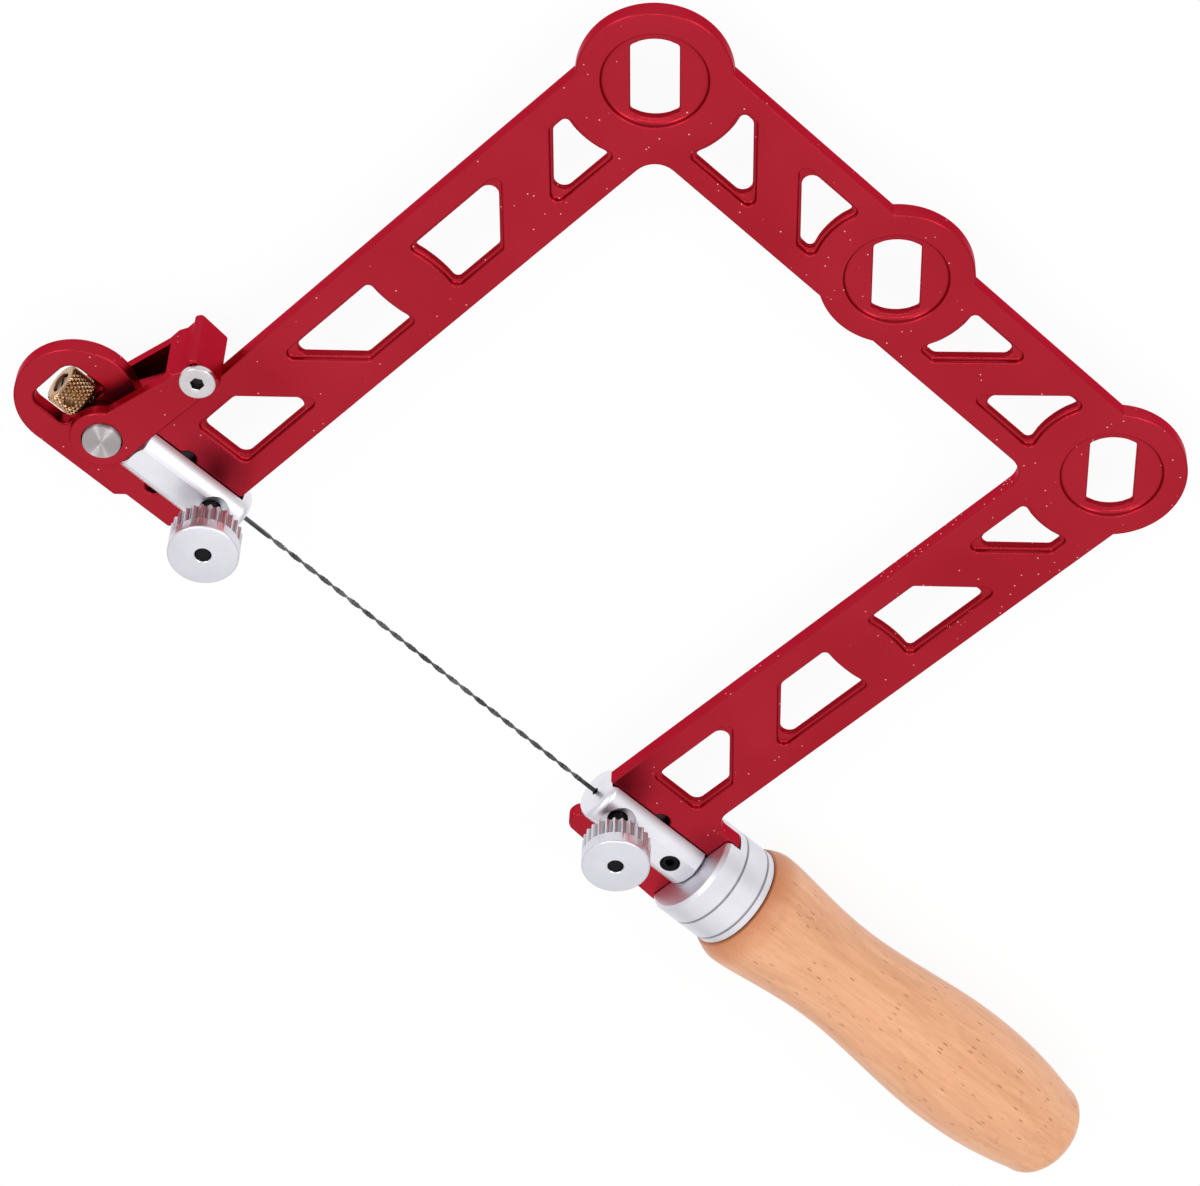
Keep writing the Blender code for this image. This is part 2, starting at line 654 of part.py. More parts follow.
def clamp_body(name, front, rear):
    """A round bar between front (blade end) and rear, grooved to ride on the slot's edges."""
    way = 1.0 if rear > front else -1.0
    high, low = max(front, rear), min(front, rear)
    front_c = CLAMP_CHAMFER
    rear_c = 0.4 * MM
    high_c, low_c = (front_c, rear_c) if front > rear else (rear_c, front_c)
    profile = [(high, 0), (high, CLAMP_R - high_c), (high - high_c, CLAMP_R), (low + low_c, CLAMP_R),
               (low, CLAMP_R - low_c), (low, 0)]
    body = turned(name, profile, PARTS, SAW, SILVER, along_x=True)
    screw_x = front + way * SCREW_BACK
    out = 2 * MM
    flat_from = min(screw_x, rear + way * out)
    flat_to = max(screw_x, rear + way * out)
    wide = CLAMP_R + out
    combine(body, block(name + "_flat", (flat_from, -wide, CLAMP_FLAT_Z), (flat_to, wide, wide), SAW))
    combine(body, drill(name + "_scoop", SCOOP_R, (screw_x, 0, SCOOP_Z), (screw_x, 0, wide), SAW))
    groove_y = SLOT_HALF - SLIDE_GAP
    groove_z = HALF_T + SLIDE_GAP
    for side in (-1, 1):
        y0, y1 = sorted((side * groove_y, side * wide))
        cutter = block(name + "_groove", (low - out, y0, -groove_z), (high + out, y1, groove_z), SAW)
        combine(body, cutter)
    combine(body, drill(name + "_screw_hole", STUD_R + GAP, (screw_x, 0, -wide), (screw_x, 0, wide), SAW))
    x0, x1 = sorted((front - way * out, front + way * BLADE_HOLE_DEPTH))
    combine(body, block(name + "_blade_hole", (x0, -BLADE_HOLE_HALF_Y, -BLADE_HOLE_HALF_Z),
                        (x1, BLADE_HOLE_HALF_Y, BLADE_HOLE_HALF_Z), SAW))
    return body


def clamp_screw(prefix, axis):
    """The knob and its stud, the stud's foot just above the blade, and the anvil under it."""
    top = KNOB_BASE_Z + KNOB_HEIGHT
    c = KNOB_CHAMFER
    bore = STUD_R + GAP
    profile = [(top, bore), (top, KNOB_R - c), (top - c, KNOB_R), (KNOB_BASE_Z + c, KNOB_R),
               (KNOB_BASE_Z, KNOB_R - c), (KNOB_BASE_Z, bore)]
    knob = turned(prefix + "_knob", profile, PARTS, axis, SILVER, steps=2 * FLUTE_COUNT)
    mesh = bpy.data.meshes.new(prefix + "_flutes")
    bm = bmesh.new()
    depth = KNOB_HEIGHT * FLUTE_SHARE + MM
    for i in range(FLUTE_COUNT):
        a = 2 * math.pi * (i + 0.5) / FLUTE_COUNT
        r = KNOB_R + 0.1 * MM
        place = Matrix.Translation((r * math.cos(a), r * math.sin(a), KNOB_BASE_Z - MM + depth / 2))
        bmesh.ops.create_cone(bm, cap_ends=True, segments=6, radius1=FLUTE_R, radius2=FLUTE_R, depth=depth,
                              matrix=place)
    bm.to_mesh(mesh)
    bm.free()
    combine(knob, add(bpy.data.objects.new(prefix + "_flutes", mesh), CUTTERS, axis))
    tip = BLADE_WIDTH / 2 + GAP
    stud_profile = [(top, 0), (top, STUD_R), (tip, STUD_R), (tip, 0)]
    turned(prefix + "_stud", stud_profile, PARTS, axis, BLACK, steps=24)


def anvil(prefix, screw_x):
    tip = -(BLADE_WIDTH / 2 + GAP)
    profile = [(tip, 0), (tip, STUD_R), (ANVIL_FOOT_Z, STUD_R), (ANVIL_FOOT_Z, 0)]
    obj = turned(prefix + "_anvil", profile, PARTS, SAW, BLACK, steps=24)
    obj.location.x = screw_x
    socket = outline_mesh(prefix + "_anvil_socket", [hexagon(screw_x, 0, SMALL_HEX)],
                          ANVIL_FOOT_Z - MM, ANVIL_FOOT_Z + 1.5 * MM)
    combine(obj, add(bpy.data.objects.new(prefix + "_anvil_socket", socket), CUTTERS, SAW))


UPPER_REAR_X = UPPER_FRONT_X - UPPER_LENGTH
LOWER_REAR_X = LOWER_FRONT_X + LOWER_LENGTH
upper_body = clamp_body("upper_clamp_body", UPPER_FRONT_X, UPPER_REAR_X)
combine(upper_body, drill("rod_hole", ROD_R + GAP, (UPPER_REAR_X - MM, 0, 0),
                          (UPPER_REAR_X + ROD_IN_CLAMP + GAP, 0, 0), SAW))
clamp_screw("upper_clamp", UPPER_SCREW)
anvil("upper_clamp", UPPER_SCREW_X)
lower_body = clamp_body("lower_clamp_body", LOWER_FRONT_X, LOWER_REAR_X)
set_foot = SET_SCREW_TOP_Z - SET_SCREW_LENGTH
combine(lower_body, drill("set_screw_hole", STUD_R + GAP, (SET_SCREW_X, 0, set_foot - GAP),
                          (SET_SCREW_X, 0, CLAMP_R + MM), SAW))
clamp_screw("lower_clamp", LOWER_SCREW)
anvil("lower_clamp", LOWER_SCREW_X)
set_profile = [(SET_SCREW_TOP_Z, 0), (SET_SCREW_TOP_Z, STUD_R), (set_foot, STUD_R), (set_foot, 0)]
set_screw = turned("lower_clamp_set_screw", set_profile, PARTS, SAW, BLACK, steps=24)
set_screw.location.x = SET_SCREW_X
socket_mesh = outline_mesh("set_screw_socket", [hexagon(SET_SCREW_X, 0, SMALL_HEX)],
                           SET_SCREW_TOP_Z - 1.5 * MM, SET_SCREW_TOP_Z + MM)
combine(set_screw, add(bpy.data.objects.new("set_screw_socket", socket_mesh), CUTTERS, SAW))


# Tension screw: a draw rod fixed in the upper clamp, and the nut that bears on the lever's cams

rod_end = UPPER_REAR_X + ROD_IN_CLAMP
rod_profile = [(rod_end, 0), (rod_end, ROD_R), (NUT_FAR_X, ROD_R), (NUT_FAR_X, 0)]
turned("draw_rod", rod_profile, PARTS, SAW, STEEL, along_x=True, steps=20)
nut_bore = ROD_R + GAP
c = NUT_CHAMFER
tension_nut = turned("tension_nut", [(0, nut_bore), (0, NUT_R - c), (-c, NUT_R), (c - NUT_LENGTH, NUT_R),
                                     (-NUT_LENGTH, NUT_R - c), (-NUT_LENGTH, nut_bore)],
                     PARTS, NUT_AXIS, BRASS, along_x=True, steps=32)
combine(tension_nut, drill("tommy_hole", NUT_HOLE_R, (-NUT_LENGTH / 2, 0, -2 * NUT_R),
                           (-NUT_LENGTH / 2, 0, 2 * NUT_R), NUT_AXIS, steps=12))


# Lever: two cheeks joined by a block, with cam hubs either side of the plate

def lever_outline():
    shoulder = math.radians(LEVER_SHOULDER_ANGLE)
    left = LEVER_END_R * math.cos(shoulder)
    top = LEVER_END_Y
    corners = [(left, LEVER_END_R * math.sin(shoulder)), (-1.0 * MM, BLOCK_FOOT_Y - 0.6 * MM, 0.8 * MM),
               (-1.0 * MM, top - 6.4 * MM, 0.8 * MM), (-0.2 * MM, top - 4.6 * MM, 0.8 * MM),
               (-0.2 * MM, top - 2.6 * MM, 0.8 * MM), (-1.0 * MM, top - 1.3 * MM, 0.5 * MM),
               (-0.3 * MM, top, 0.6 * MM), (7.6 * MM, top - 0.7 * MM, 0.5 * MM),
               (7.4 * MM, top - 6.5 * MM, 1.0 * MM), (LEVER_END_R, 6.0 * MM)]
    pts = rounded(corners + [(LEVER_END_R, 0)])[:-1]
    pts += arc(0, 0, LEVER_END_R, 0, LEVER_SHOULDER_ANGLE - 360, 20)[:-1]
    return pts


def cam_outline():
    """A cam whose reach towards the nut falls evenly as the lever opens."""
    pts = []
    start = math.pi - LEVER_OPEN - math.radians(8)
    end = math.pi + math.radians(12)
    for i in range(11):
        a = start + (end - start) * i / 10
        reach = LEVER_END_R - CAM_RATE * (math.pi - a)
        x = reach * math.cos(a) - CAM_RATE * math.sin(a)
        y = reach * math.sin(a) + CAM_RATE * math.cos(a)
        pts.append((x, y))
    pts += arc(0, 0, HUB_BACK_R, 225, 440, 12)
    return pts


lever_mesh = outline_mesh("tension_lever", [lever_outline()], -LEVER_HALF, LEVER_HALF)
lever = add(bpy.data.objects.new("tension_lever", lever_mesh), PARTS, LEVER_AXIS, RED)
CHEEK_IN = LEVER_HALF - CHEEK_T
channel_out = 4 * LEVER_END_R
combine(lever, block("lever_channel", (-channel_out, -channel_out, -CHEEK_IN),
                     (channel_out, BLOCK_FOOT_Y, CHEEK_IN), LEVER_AXIS))
HUB_Z = HALF_T + GAP
for side, z0, z1 in (("front", HUB_Z, CHEEK_IN + MM), ("back", -CHEEK_IN - MM, -HUB_Z)):
    hub = outline_mesh("cam_" + side, [cam_outline()], z0, z1)
    combine(lever, add(bpy.data.objects.new("cam_" + side, hub), CUTTERS, LEVER_AXIS), 'UNION')
PIN_STEP_Z = -CHEEK_IN + 0.2 * MM
combine(lever, drill("pin_bore", PIN_R + GAP, (0, 0, PIN_STEP_Z - GAP), (0, 0, LEVER_HALF + MM),
                     LEVER_AXIS, 32))
combine(lever, drill("pin_tail_bore", PIN_TAIL_R + GAP, (0, 0, -LEVER_HALF - MM), (0, 0, 0), LEVER_AXIS, 32))
combine(lever, drill("cross_bore", CROSS_SHANK_R + GAP, (CROSS_SCREW_DX, CROSS_SCREW_Y, CROSS_FOOT_Z - GAP),
                     (CROSS_SCREW_DX, CROSS_SCREW_Y, LEVER_HALF + MM), LEVER_AXIS))

clip_mid = -LEVER_HALF - GAP - CLIP_T / 2
groove_half = CLIP_T / 2 + GAP
groove_top = clip_mid + groove_half
groove_foot = clip_mid - groove_half
pin_profile = [(PIN_TOP_Z, 0), (PIN_TOP_Z, PIN_R - GAP), (PIN_TOP_Z - GAP, PIN_R), (PIN_STEP_Z, PIN_R),
               (PIN_STEP_Z, PIN_TAIL_R), (groove_top, PIN_TAIL_R), (groove_top, CLIP_GROOVE_R),
               (groove_foot, CLIP_GROOVE_R), (groove_foot, PIN_TAIL_R), (PIN_TAIL_Z, PIN_TAIL_R), (PIN_TAIL_Z, 0)]
pin = turned("lever_pivot_pin", pin_profile, PARTS, LEVER_AXIS, STEEL, steps=32)
combine(pin, drill("rod_way", ROD_R + GAP, (-2 * PIN_R, 0, 0), (2 * PIN_R, 0, 0), LEVER_AXIS))
clip_in = CLIP_GROOVE_R + GAP
clip = turned("pin_retaining_clip", [(clip_mid + CLIP_T / 2, clip_in), (clip_mid + CLIP_T / 2, CLIP_R),
                                     (clip_mid - CLIP_T / 2, CLIP_R), (clip_mid - CLIP_T / 2, clip_in)],
              PARTS, LEVER_AXIS, STEEL, steps=32)
combine(clip, block("clip_mouth", (0, -1.6 * MM, clip_mid - CLIP_T),
                    (2 * CLIP_R, 1.6 * MM, clip_mid + CLIP_T), LEVER_AXIS))

head_z = LEVER_HALF + GAP
head_top = head_z + CROSS_HEAD_H
cross_profile = [(head_top, 0), (head_top, CROSS_HEAD_R - 0.4 * MM), (head_top - 0.4 * MM, CROSS_HEAD_R),
                 (head_z, CROSS_HEAD_R), (head_z, CROSS_SHANK_R), (CROSS_FOOT_Z, CROSS_SHANK_R), (CROSS_FOOT_Z, 0)]
cross_screw = turned("lever_cross_screw", cross_profile, PARTS, LEVER_AXIS, STEEL, steps=32)
cross_screw.location = (CROSS_SCREW_DX, CROSS_SCREW_Y, 0)
cross_socket = outline_mesh("cross_screw_socket", [hexagon(CROSS_SCREW_DX, CROSS_SCREW_Y, CROSS_HEX, 30)],
                            head_top - 1.1 * MM, head_top + MM)
combine(cross_screw, add(bpy.data.objects.new("cross_screw_socket", cross_socket), CUTTERS, LEVER_AXIS))


# Ferrule, its lock screw, the tang and the handle

tang_bore = TANG_R + GAP
rim = FERRULE_CHAMFER
ferrule_profile = [(FERRULE_X1, tang_bore), (FERRULE_X1, FERRULE_R)]
for groove_back in reversed(GROOVE_BACKS):
    groove_x = FERRULE_X1 - groove_back
    ferrule_profile += [(groove_x + GROOVE_W / 2, FERRULE_R), (groove_x, FERRULE_R - GROOVE_D),
                        (groove_x - GROOVE_W / 2, FERRULE_R)]
ferrule_profile += [(FERRULE_X0 + rim, FERRULE_R), (FERRULE_X0, FERRULE_R - rim), (FERRULE_X0, tang_bore)]
ferrule = turned("ferrule", ferrule_profile, PARTS, SAW, SILVER, along_x=True, steps=40)
slot_wide = 2 * FERRULE_R
combine(ferrule, block("plate_slot", (FERRULE_X0 - MM, -slot_wide, -HALF_T - GAP),
                       (TAB_END_X + GAP, slot_wide, HALF_T + GAP), SAW))
combine(ferrule, drill("lock_hole", LOCK_R + GAP, (LOCK_X, 0, -2 * FERRULE_R), (LOCK_X, 0, 0), SAW, 16))
lock_top = -HALF_T - GAP
lock = turned("ferrule_lock_screw", [(lock_top, 0), (lock_top, LOCK_R), (lock_top - LOCK_LENGTH, LOCK_R),
                                     (lock_top - LOCK_LENGTH, 0)], PARTS, SAW, BLACK, steps=16)
lock.location.x = LOCK_X


def smooth(t):
    return t * t * (3 - 2 * t)


def handle_radius(share):
    """Radius along the handle: shoulder, waist, swell and rounded butt."""
    marks = [(0.0, HANDLE_FRONT_R), (HANDLE_SHOULDER_AT, HANDLE_SHOULDER_R),
             (HANDLE_WAIST_AT, HANDLE_WAIST_R), (HANDLE_SWELL_AT, HANDLE_SWELL_R),
             (HANDLE_BUTT_AT, HANDLE_BUTT_R)]
    if share <= HANDLE_SHOULDER_AT:
        t = share / HANDLE_SHOULDER_AT
        return HANDLE_FRONT_R + (HANDLE_SHOULDER_R - HANDLE_FRONT_R) * math.sin(t * math.pi / 2)
    if share >= HANDLE_BUTT_AT:
        t = (share - HANDLE_BUTT_AT) / (1 - HANDLE_BUTT_AT)
        return HANDLE_BUTT_R * math.sqrt(max(0.0, 1 - t ** 2.2))
    for (s0, r0), (s1, r1) in zip(marks[1:], marks[2:]):
        if share <= s1:
            t = (share - s0) / (s1 - s0)
            if s1 == HANDLE_BUTT_AT:
                return r0 + (r1 - r0) * t ** 2.2
            if s1 == HANDLE_WAIST_AT:
                t = t ** 0.8
            return r0 + (r1 - r0) * smooth(t)
    return marks[-1][1]


shares = [HANDLE_SHOULDER_AT * i / 4 for i in range(4)]
shares += [HANDLE_SHOULDER_AT + (HANDLE_BUTT_AT - HANDLE_SHOULDER_AT) * i / 18 for i in range(18)]
shares += [HANDLE_BUTT_AT + (1 - HANDLE_BUTT_AT) * math.sin(math.pi / 2 * i / 6) for i in range(7)]
wood_bore = INSERT_R + GAP
bore_end = TANG_X0 + TANG_LENGTH + BORE_ROOM
handle_profile = [(HANDLE_X1, 0.0)]
handle_profile += [(HANDLE_X0 + HANDLE_LENGTH * s, handle_radius(s)) for s in reversed(shares[:-1])]
handle_profile += [(HANDLE_X0, wood_bore), (bore_end, wood_bore), (bore_end, 0.0)]
turned("handle_grip", handle_profile, PARTS, SAW, WOOD, along_x=True, steps=32)
tang_end = TANG_X0 + TANG_LENGTH
tang_profile = [(tang_end, 0), (tang_end, TANG_R), (TANG_X0, TANG_R), (TANG_X0, 0)]
turned("handle_tang", tang_profile, PARTS, SAW, STEEL, along_x=True, steps=20)
insert_x = HANDLE_X0 + GAP
insert_end = insert_x + INSERT_LENGTH
insert_profile = [(insert_end, tang_bore), (insert_end, INSERT_R), (insert_x, INSERT_R), (insert_x, tang_bore)]
turned("handle_insert", insert_profile, PARTS, SAW, BRASS, along_x=True, steps=24)


# Spiral blade: a thin strip with flat ends, twisted along its free length

def blade_mesh():
    x0 = UPPER_FRONT_X - BLADE_IN_CLAMP
    x1 = LOWER_FRONT_X + BLADE_IN_CLAMP
    free = LOWER_FRONT_X - UPPER_FRONT_X - BLADE_FLAT_UPPER - BLADE_FLAT_LOWER
    turns = max(1, round(free / BLADE_TURN))
    count = turns * BLADE_STEPS_PER_TURN
    stations = [(x0, 0.0)]
    for i in range(count + 1):
        stations.append((UPPER_FRONT_X + BLADE_FLAT_UPPER + free * i / count, 2 * math.pi * turns * i / count))
    stations.append((x1, 2 * math.pi * turns))
    bm = bmesh.new()
    rings = []
    lean = (BLADE_LOWER_Y - BLADE_UPPER_Y) / (LOWER_FRONT_X - UPPER_FRONT_X)
    for x, a in stations:
        mid_y = BLADE_UPPER_Y + lean * (x - UPPER_FRONT_X)
        c = math.cos(a)
        s = math.sin(a)
        ring = []
        for u, v in ((1, 1), (-1, 1), (-1, -1), (1, -1)):
            y = u * BLADE_WIDTH / 2
            z = v * BLADE_T / 2
            ring.append(bm.verts.new((x, mid_y + y * c - z * s, y * s + z * c)))
        rings.append(ring)
    for first, second in zip(rings, rings[1:]):
        for k in range(4):
            n = (k + 1) % 4
            bm.faces.new((first[k], first[n], second[n], second[k]))
    bm.faces.new(rings[0][::-1])
    bm.faces.new(rings[-1])
    bmesh.ops.triangulate(bm, faces=bm.faces)
    bmesh.ops.recalc_face_normals(bm, faces=bm.faces)
    mesh = bpy.data.meshes.new("saw_blade")
    bm.to_mesh(mesh)
    bm.free()
    return mesh


add(bpy.data.objects.new("saw_blade", blade_mesh()), PARTS, SAW, BLADE_STEEL)
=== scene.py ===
"""Jeweler saw frame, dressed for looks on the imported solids.

Shapes are made in millimetres on the saw's working axes: X along the blade towards the handle,
Y from the blade towards the back bar, Z out of the plate. SHIFT moves them to the row frame.
"""
import math

import bmesh
import bpy
from mathutils import Matrix, Vector, geometry


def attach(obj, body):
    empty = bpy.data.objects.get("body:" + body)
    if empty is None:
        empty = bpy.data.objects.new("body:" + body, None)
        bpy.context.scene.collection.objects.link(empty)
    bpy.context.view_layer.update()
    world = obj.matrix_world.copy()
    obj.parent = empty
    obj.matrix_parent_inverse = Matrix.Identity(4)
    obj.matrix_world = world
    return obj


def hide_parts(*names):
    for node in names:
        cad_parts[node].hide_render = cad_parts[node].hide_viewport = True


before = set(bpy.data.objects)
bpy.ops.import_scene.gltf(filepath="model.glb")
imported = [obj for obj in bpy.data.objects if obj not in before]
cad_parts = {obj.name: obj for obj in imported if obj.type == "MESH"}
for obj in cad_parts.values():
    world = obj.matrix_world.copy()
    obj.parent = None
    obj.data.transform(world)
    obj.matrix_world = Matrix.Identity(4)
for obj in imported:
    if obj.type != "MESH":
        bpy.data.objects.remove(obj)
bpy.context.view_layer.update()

SHIFT = Vector((-49.15, -71.225, 14.65))
TO_ROW = Matrix.Scale(0.001, 4) @ Matrix.Translation(SHIFT)
SCENE = bpy.context.scene


# Materials

def new_material(name):
    mat = bpy.data.materials.new(name)
    mat.use_nodes = True
    return mat, mat.node_tree.nodes["Principled BSDF"]


def node(mat, kind, **values):
    made = mat.node_tree.nodes.new("ShaderNode" + kind)
    for key, value in values.items():
        if hasattr(made, key):
            setattr(made, key, value)
        else:
            made.inputs[key.replace("_", " ")].default_value = value
    return made


def wire(mat, source, target):
    mat.node_tree.links.new(source, target)


def coords(mat, scale=(1.0, 1.0, 1.0)):
    """Object coordinates in millimetres on the working axes, then scaled."""
    tex = node(mat, "TexCoord")
    mm = node(mat, "Mapping")
    mm.inputs["Scale"].default_value = (1000.0, 1000.0, 1000.0)
    mm.inputs["Location"].default_value = -SHIFT
    wire(mat, tex.outputs["Object"], mm.inputs["Vector"])
    stretch = node(mat, "Mapping")
    stretch.inputs["Scale"].default_value = scale
    wire(mat, mm.outputs["Vector"], stretch.inputs["Vector"])
    return stretch.outputs["Vector"]


def noise(mat, vector, scale, detail=3.0, rough=0.5):
    made = node(mat, "TexNoise", Scale=scale, Detail=detail, Roughness=rough)
    wire(mat, vector, made.inputs["Vector"])
    return made.outputs["Fac"]


def ramp(mat, fac, stops):
    made = node(mat, "ValToRGB")
    elements = made.color_ramp.elements
    while len(elements) < len(stops):
        elements.new(0.5)
    for element, (at, colour) in zip(elements, stops):
        element.position = at
        element.color = (*colour, 1.0)
    wire(mat, fac, made.inputs["Fac"])
    return made.outputs["Color"]


def blend(mat, fac, a, b):
    made = node(mat, "Mix", data_type='RGBA', blend_type='MIX')
    for value, at in ((fac, 0), (a, 6), (b, 7)):
        if isinstance(value, tuple):
            made.inputs[at].default_value = (*value, 1.0)
        else:
            wire(mat, value, made.inputs[at])
    return made.outputs[2]


def spread(mat, fac, low, high, start=0.0, end=1.0):
    made = node(mat, "MapRange")
    made.inputs["From Min"].default_value = start
    made.inputs["From Max"].default_value = end
    made.inputs["To Min"].default_value = low
    made.inputs["To Max"].default_value = high
    wire(mat, fac, made.inputs["Value"])
    return made.outputs["Result"]


def bump(mat, bsdf, height, distance, strength=1.0):
    made = node(mat, "Bump", Strength=strength, Distance=distance)
    wire(mat, height, made.inputs["Height"])
    wire(mat, made.outputs["Normal"], bsdf.inputs["Normal"])


def combine(mat, operation, a, b):
    made = node(mat, "Math", operation=operation)
    wire(mat, a, made.inputs[0])
    wire(mat, b, made.inputs[1])
    return made.outputs[0]


def specks(mat, vector, scale, size, share):
    """Sparse small dots in loose clusters, 1 inside a dot and 0 outside."""
    cells = node(mat, "TexVoronoi", Scale=scale)
    wire(mat, vector, cells.inputs["Vector"])
    dot = spread(mat, cells.outputs["Distance"], 1.0, 0.0, size * 0.7, size)
    pick = node(mat, "SeparateColor")
    wire(mat, cells.outputs["Color"], pick.inputs["Color"])
    crowd = spread(mat, noise(mat, vector, 0.05, 2.0), -share, share * 2.2, 0.35, 0.68)
    lift = combine(mat, 'ADD', pick.outputs[0], crowd)
    chosen = spread(mat, lift, 0.0, 1.0, 1.0 - share, 1.0 - share + 0.01)
    return combine(mat, 'MULTIPLY', dot, chosen)


def red_material(name, dark, light, rough):
    """Satin red anodised aluminium: blasted grain, slow dye variation and a few bright specks."""
    mat, bsdf = new_material(name)
    mm = coords(mat)
    base = ramp(mat, noise(mat, mm, 0.035, 2.0), [(0.3, dark), (0.7, light)])
    fine = noise(mat, mm, 2.2, 4.0, 0.65)
    base = blend(mat, spread(mat, fine, 0.0, 0.35), base, tuple(c * 0.72 for c in dark))
    base = blend(mat, specks(mat, mm, 0.9, 0.15, 0.065), base, (0.90, 0.58, 0.58))
    wire(mat, base, bsdf.inputs["Base Color"])
    bsdf.inputs["Metallic"].default_value = 0.95
    wire(mat, spread(mat, fine, rough - 0.05, rough + 0.06), bsdf.inputs["Roughness"])
    bsdf.inputs["Specular Tint"].default_value = (0.88, 0.36, 0.42, 1.0)
    bump(mat, bsdf, noise(mat, mm, 7.0, 3.0, 0.6), 0.00001, 0.25)
    return mat


def metal_material(name, dark, light, rough, grain=6.0, brushed=None, aniso=0.0, groove=None):
    """Bare metal with fine grain. brushed scales the grain on X, Y and Z, groove paints shade into the
    hollows that the mesh's groove layer marks, and aniso gives the look of a face turned on a lathe."""
    mat, bsdf = new_material(name)
    mm = coords(mat, brushed or (1.0, 1.0, 1.0))
    slow = noise(mat, coords(mat), 0.12, 3.0)
    fine = noise(mat, mm, grain, 4.0, 0.6)
    base = ramp(mat, slow, [(0.3, dark), (0.7, light)])
    base = blend(mat, spread(mat, fine, 0.0, 0.3), base, tuple(c * 0.8 for c in dark))
    # Painted shade: the groove colour darkens the hollows that the groove layer marks
    if groove:
        deep = node(mat, "Attribute", attribute_name="groove")
        base = blend(mat, deep.outputs["Fac"], base, groove)
    wire(mat, base, bsdf.inputs["Base Color"])
    bsdf.inputs["Metallic"].default_value = 1.0
    wire(mat, spread(mat, fine, rough - 0.06, rough + 0.06), bsdf.inputs["Roughness"])
    bump(mat, bsdf, fine, 0.00001, 0.2)
    if aniso:
        bsdf.inputs["Anisotropic"].default_value = aniso
        bsdf.inputs["Anisotropic Rotation"].default_value = 0.25
        turn = node(mat, "Tangent", direction_type='RADIAL', axis='Z')
        wire(mat, turn.outputs["Tangent"], bsdf.inputs["Tangent"])
    return mat


def wood_material(name):
    """Lacquered beech with the grain along X: soft bands, streaks, fine pores and short dark flecks."""
    mat, bsdf = new_material(name)
    warp = noise(mat, coords(mat, (0.02, 0.16, 0.16)), 1.0, 3.0)
    shifted = node(mat, "VectorMath", operation='SCALE')
    wire(mat, warp, shifted.inputs[0])
    shifted.inputs["Scale"].default_value = 1.4
    waved = node(mat, "VectorMath", operation='ADD')
    wire(mat, coords(mat, (0.008, 0.22, 0.22)), waved.inputs[0])
    wire(mat, shifted.outputs[0], waved.inputs[1])
    bands = noise(mat, waved.outputs[0], 1.6, 5.0, 0.55)
    base = ramp(mat, bands, [(0.28, (0.66, 0.305, 0.155)), (0.5, (0.77, 0.38, 0.20)),
                             (0.74, (0.84, 0.445, 0.25))])
    pores = noise(mat, coords(mat, (0.22, 3.2, 3.2)), 1.0, 3.0, 0.6)
    base = blend(mat, spread(mat, pores, 0.0, 0.45, 0.5, 0.8), base, (0.60, 0.255, 0.12))
    streaks = noise(mat, coords(mat, (0.035, 0.8, 0.8)), 1.0, 4.0, 0.6)
    base = blend(mat, spread(mat, streaks, 0.0, 0.5, 0.5, 0.72), base, (0.64, 0.285, 0.14))
    cells = node(mat, "TexVoronoi", Scale=1.0, Randomness=1.0)
    wire(mat, coords(mat, (0.28, 1.3, 1.3)), cells.inputs["Vector"])
    pick = node(mat, "SeparateColor")
    wire(mat, cells.outputs["Color"], pick.inputs["Color"])
    fleck = spread(mat, cells.outputs["Distance"], 1.0, 0.0, 0.16, 0.3)
    some = spread(mat, pick.outputs[0], 0.0, 0.8, 0.55, 0.9)
    base = blend(mat, combine(mat, 'MULTIPLY', fleck, some), base, (0.36, 0.145, 0.062))
    # The front end, next to the ferrule, is darker and more orange
    place = node(mat, "SeparateXYZ")
    wire(mat, coords(mat), place.inputs[0])
    front = spread(mat, place.outputs[0], 0.9, 0.0, 99.0, 105.5)
    base = blend(mat, front, base, (0.54, 0.185, 0.07))
    wire(mat, base, bsdf.inputs["Base Color"])
    wire(mat, spread(mat, pores, 0.36, 0.5), bsdf.inputs["Roughness"])
    bsdf.inputs["Coat Weight"].default_value = 0.2
    bsdf.inputs["Coat Roughness"].default_value = 0.35
    bump(mat, bsdf, pores, 0.00004, 0.25)
    return mat


RED = red_material("red_anodised_dressed", (0.415, 0.0155, 0.029), (0.475, 0.0222, 0.040), 0.3)
# Darker red, painted shade for the walls of the plate's holes, slots and window
RED_PAINTED_SHADE_WALL = red_material("red_anodised_painted_shade_wall", (0.26, 0.006, 0.013), (0.33, 0.010, 0.019), 0.26)
# Near-black red, painted shade for the faces inside the lever's channel
RED_PAINTED_SHADE_INSIDE = red_material("red_anodised_painted_shade_inside", (0.06, 0.002, 0.003), (0.11, 0.003, 0.005), 0.4)
SILVER = metal_material("satin_aluminium_dressed", (0.83, 0.825, 0.88), (0.91, 0.905, 0.95), 0.38)
SATIN = metal_material("blasted_aluminium_dressed", (0.77, 0.765, 0.82), (0.86, 0.855, 0.91), 0.46)
# Darker satin, painted shade for the ferrule's two line grooves
SATIN_PAINTED_GROOVE_SHADE = metal_material("blasted_aluminium_painted_groove_shade", (0.50, 0.495, 0.53), (0.60, 0.595, 0.63), 0.5)
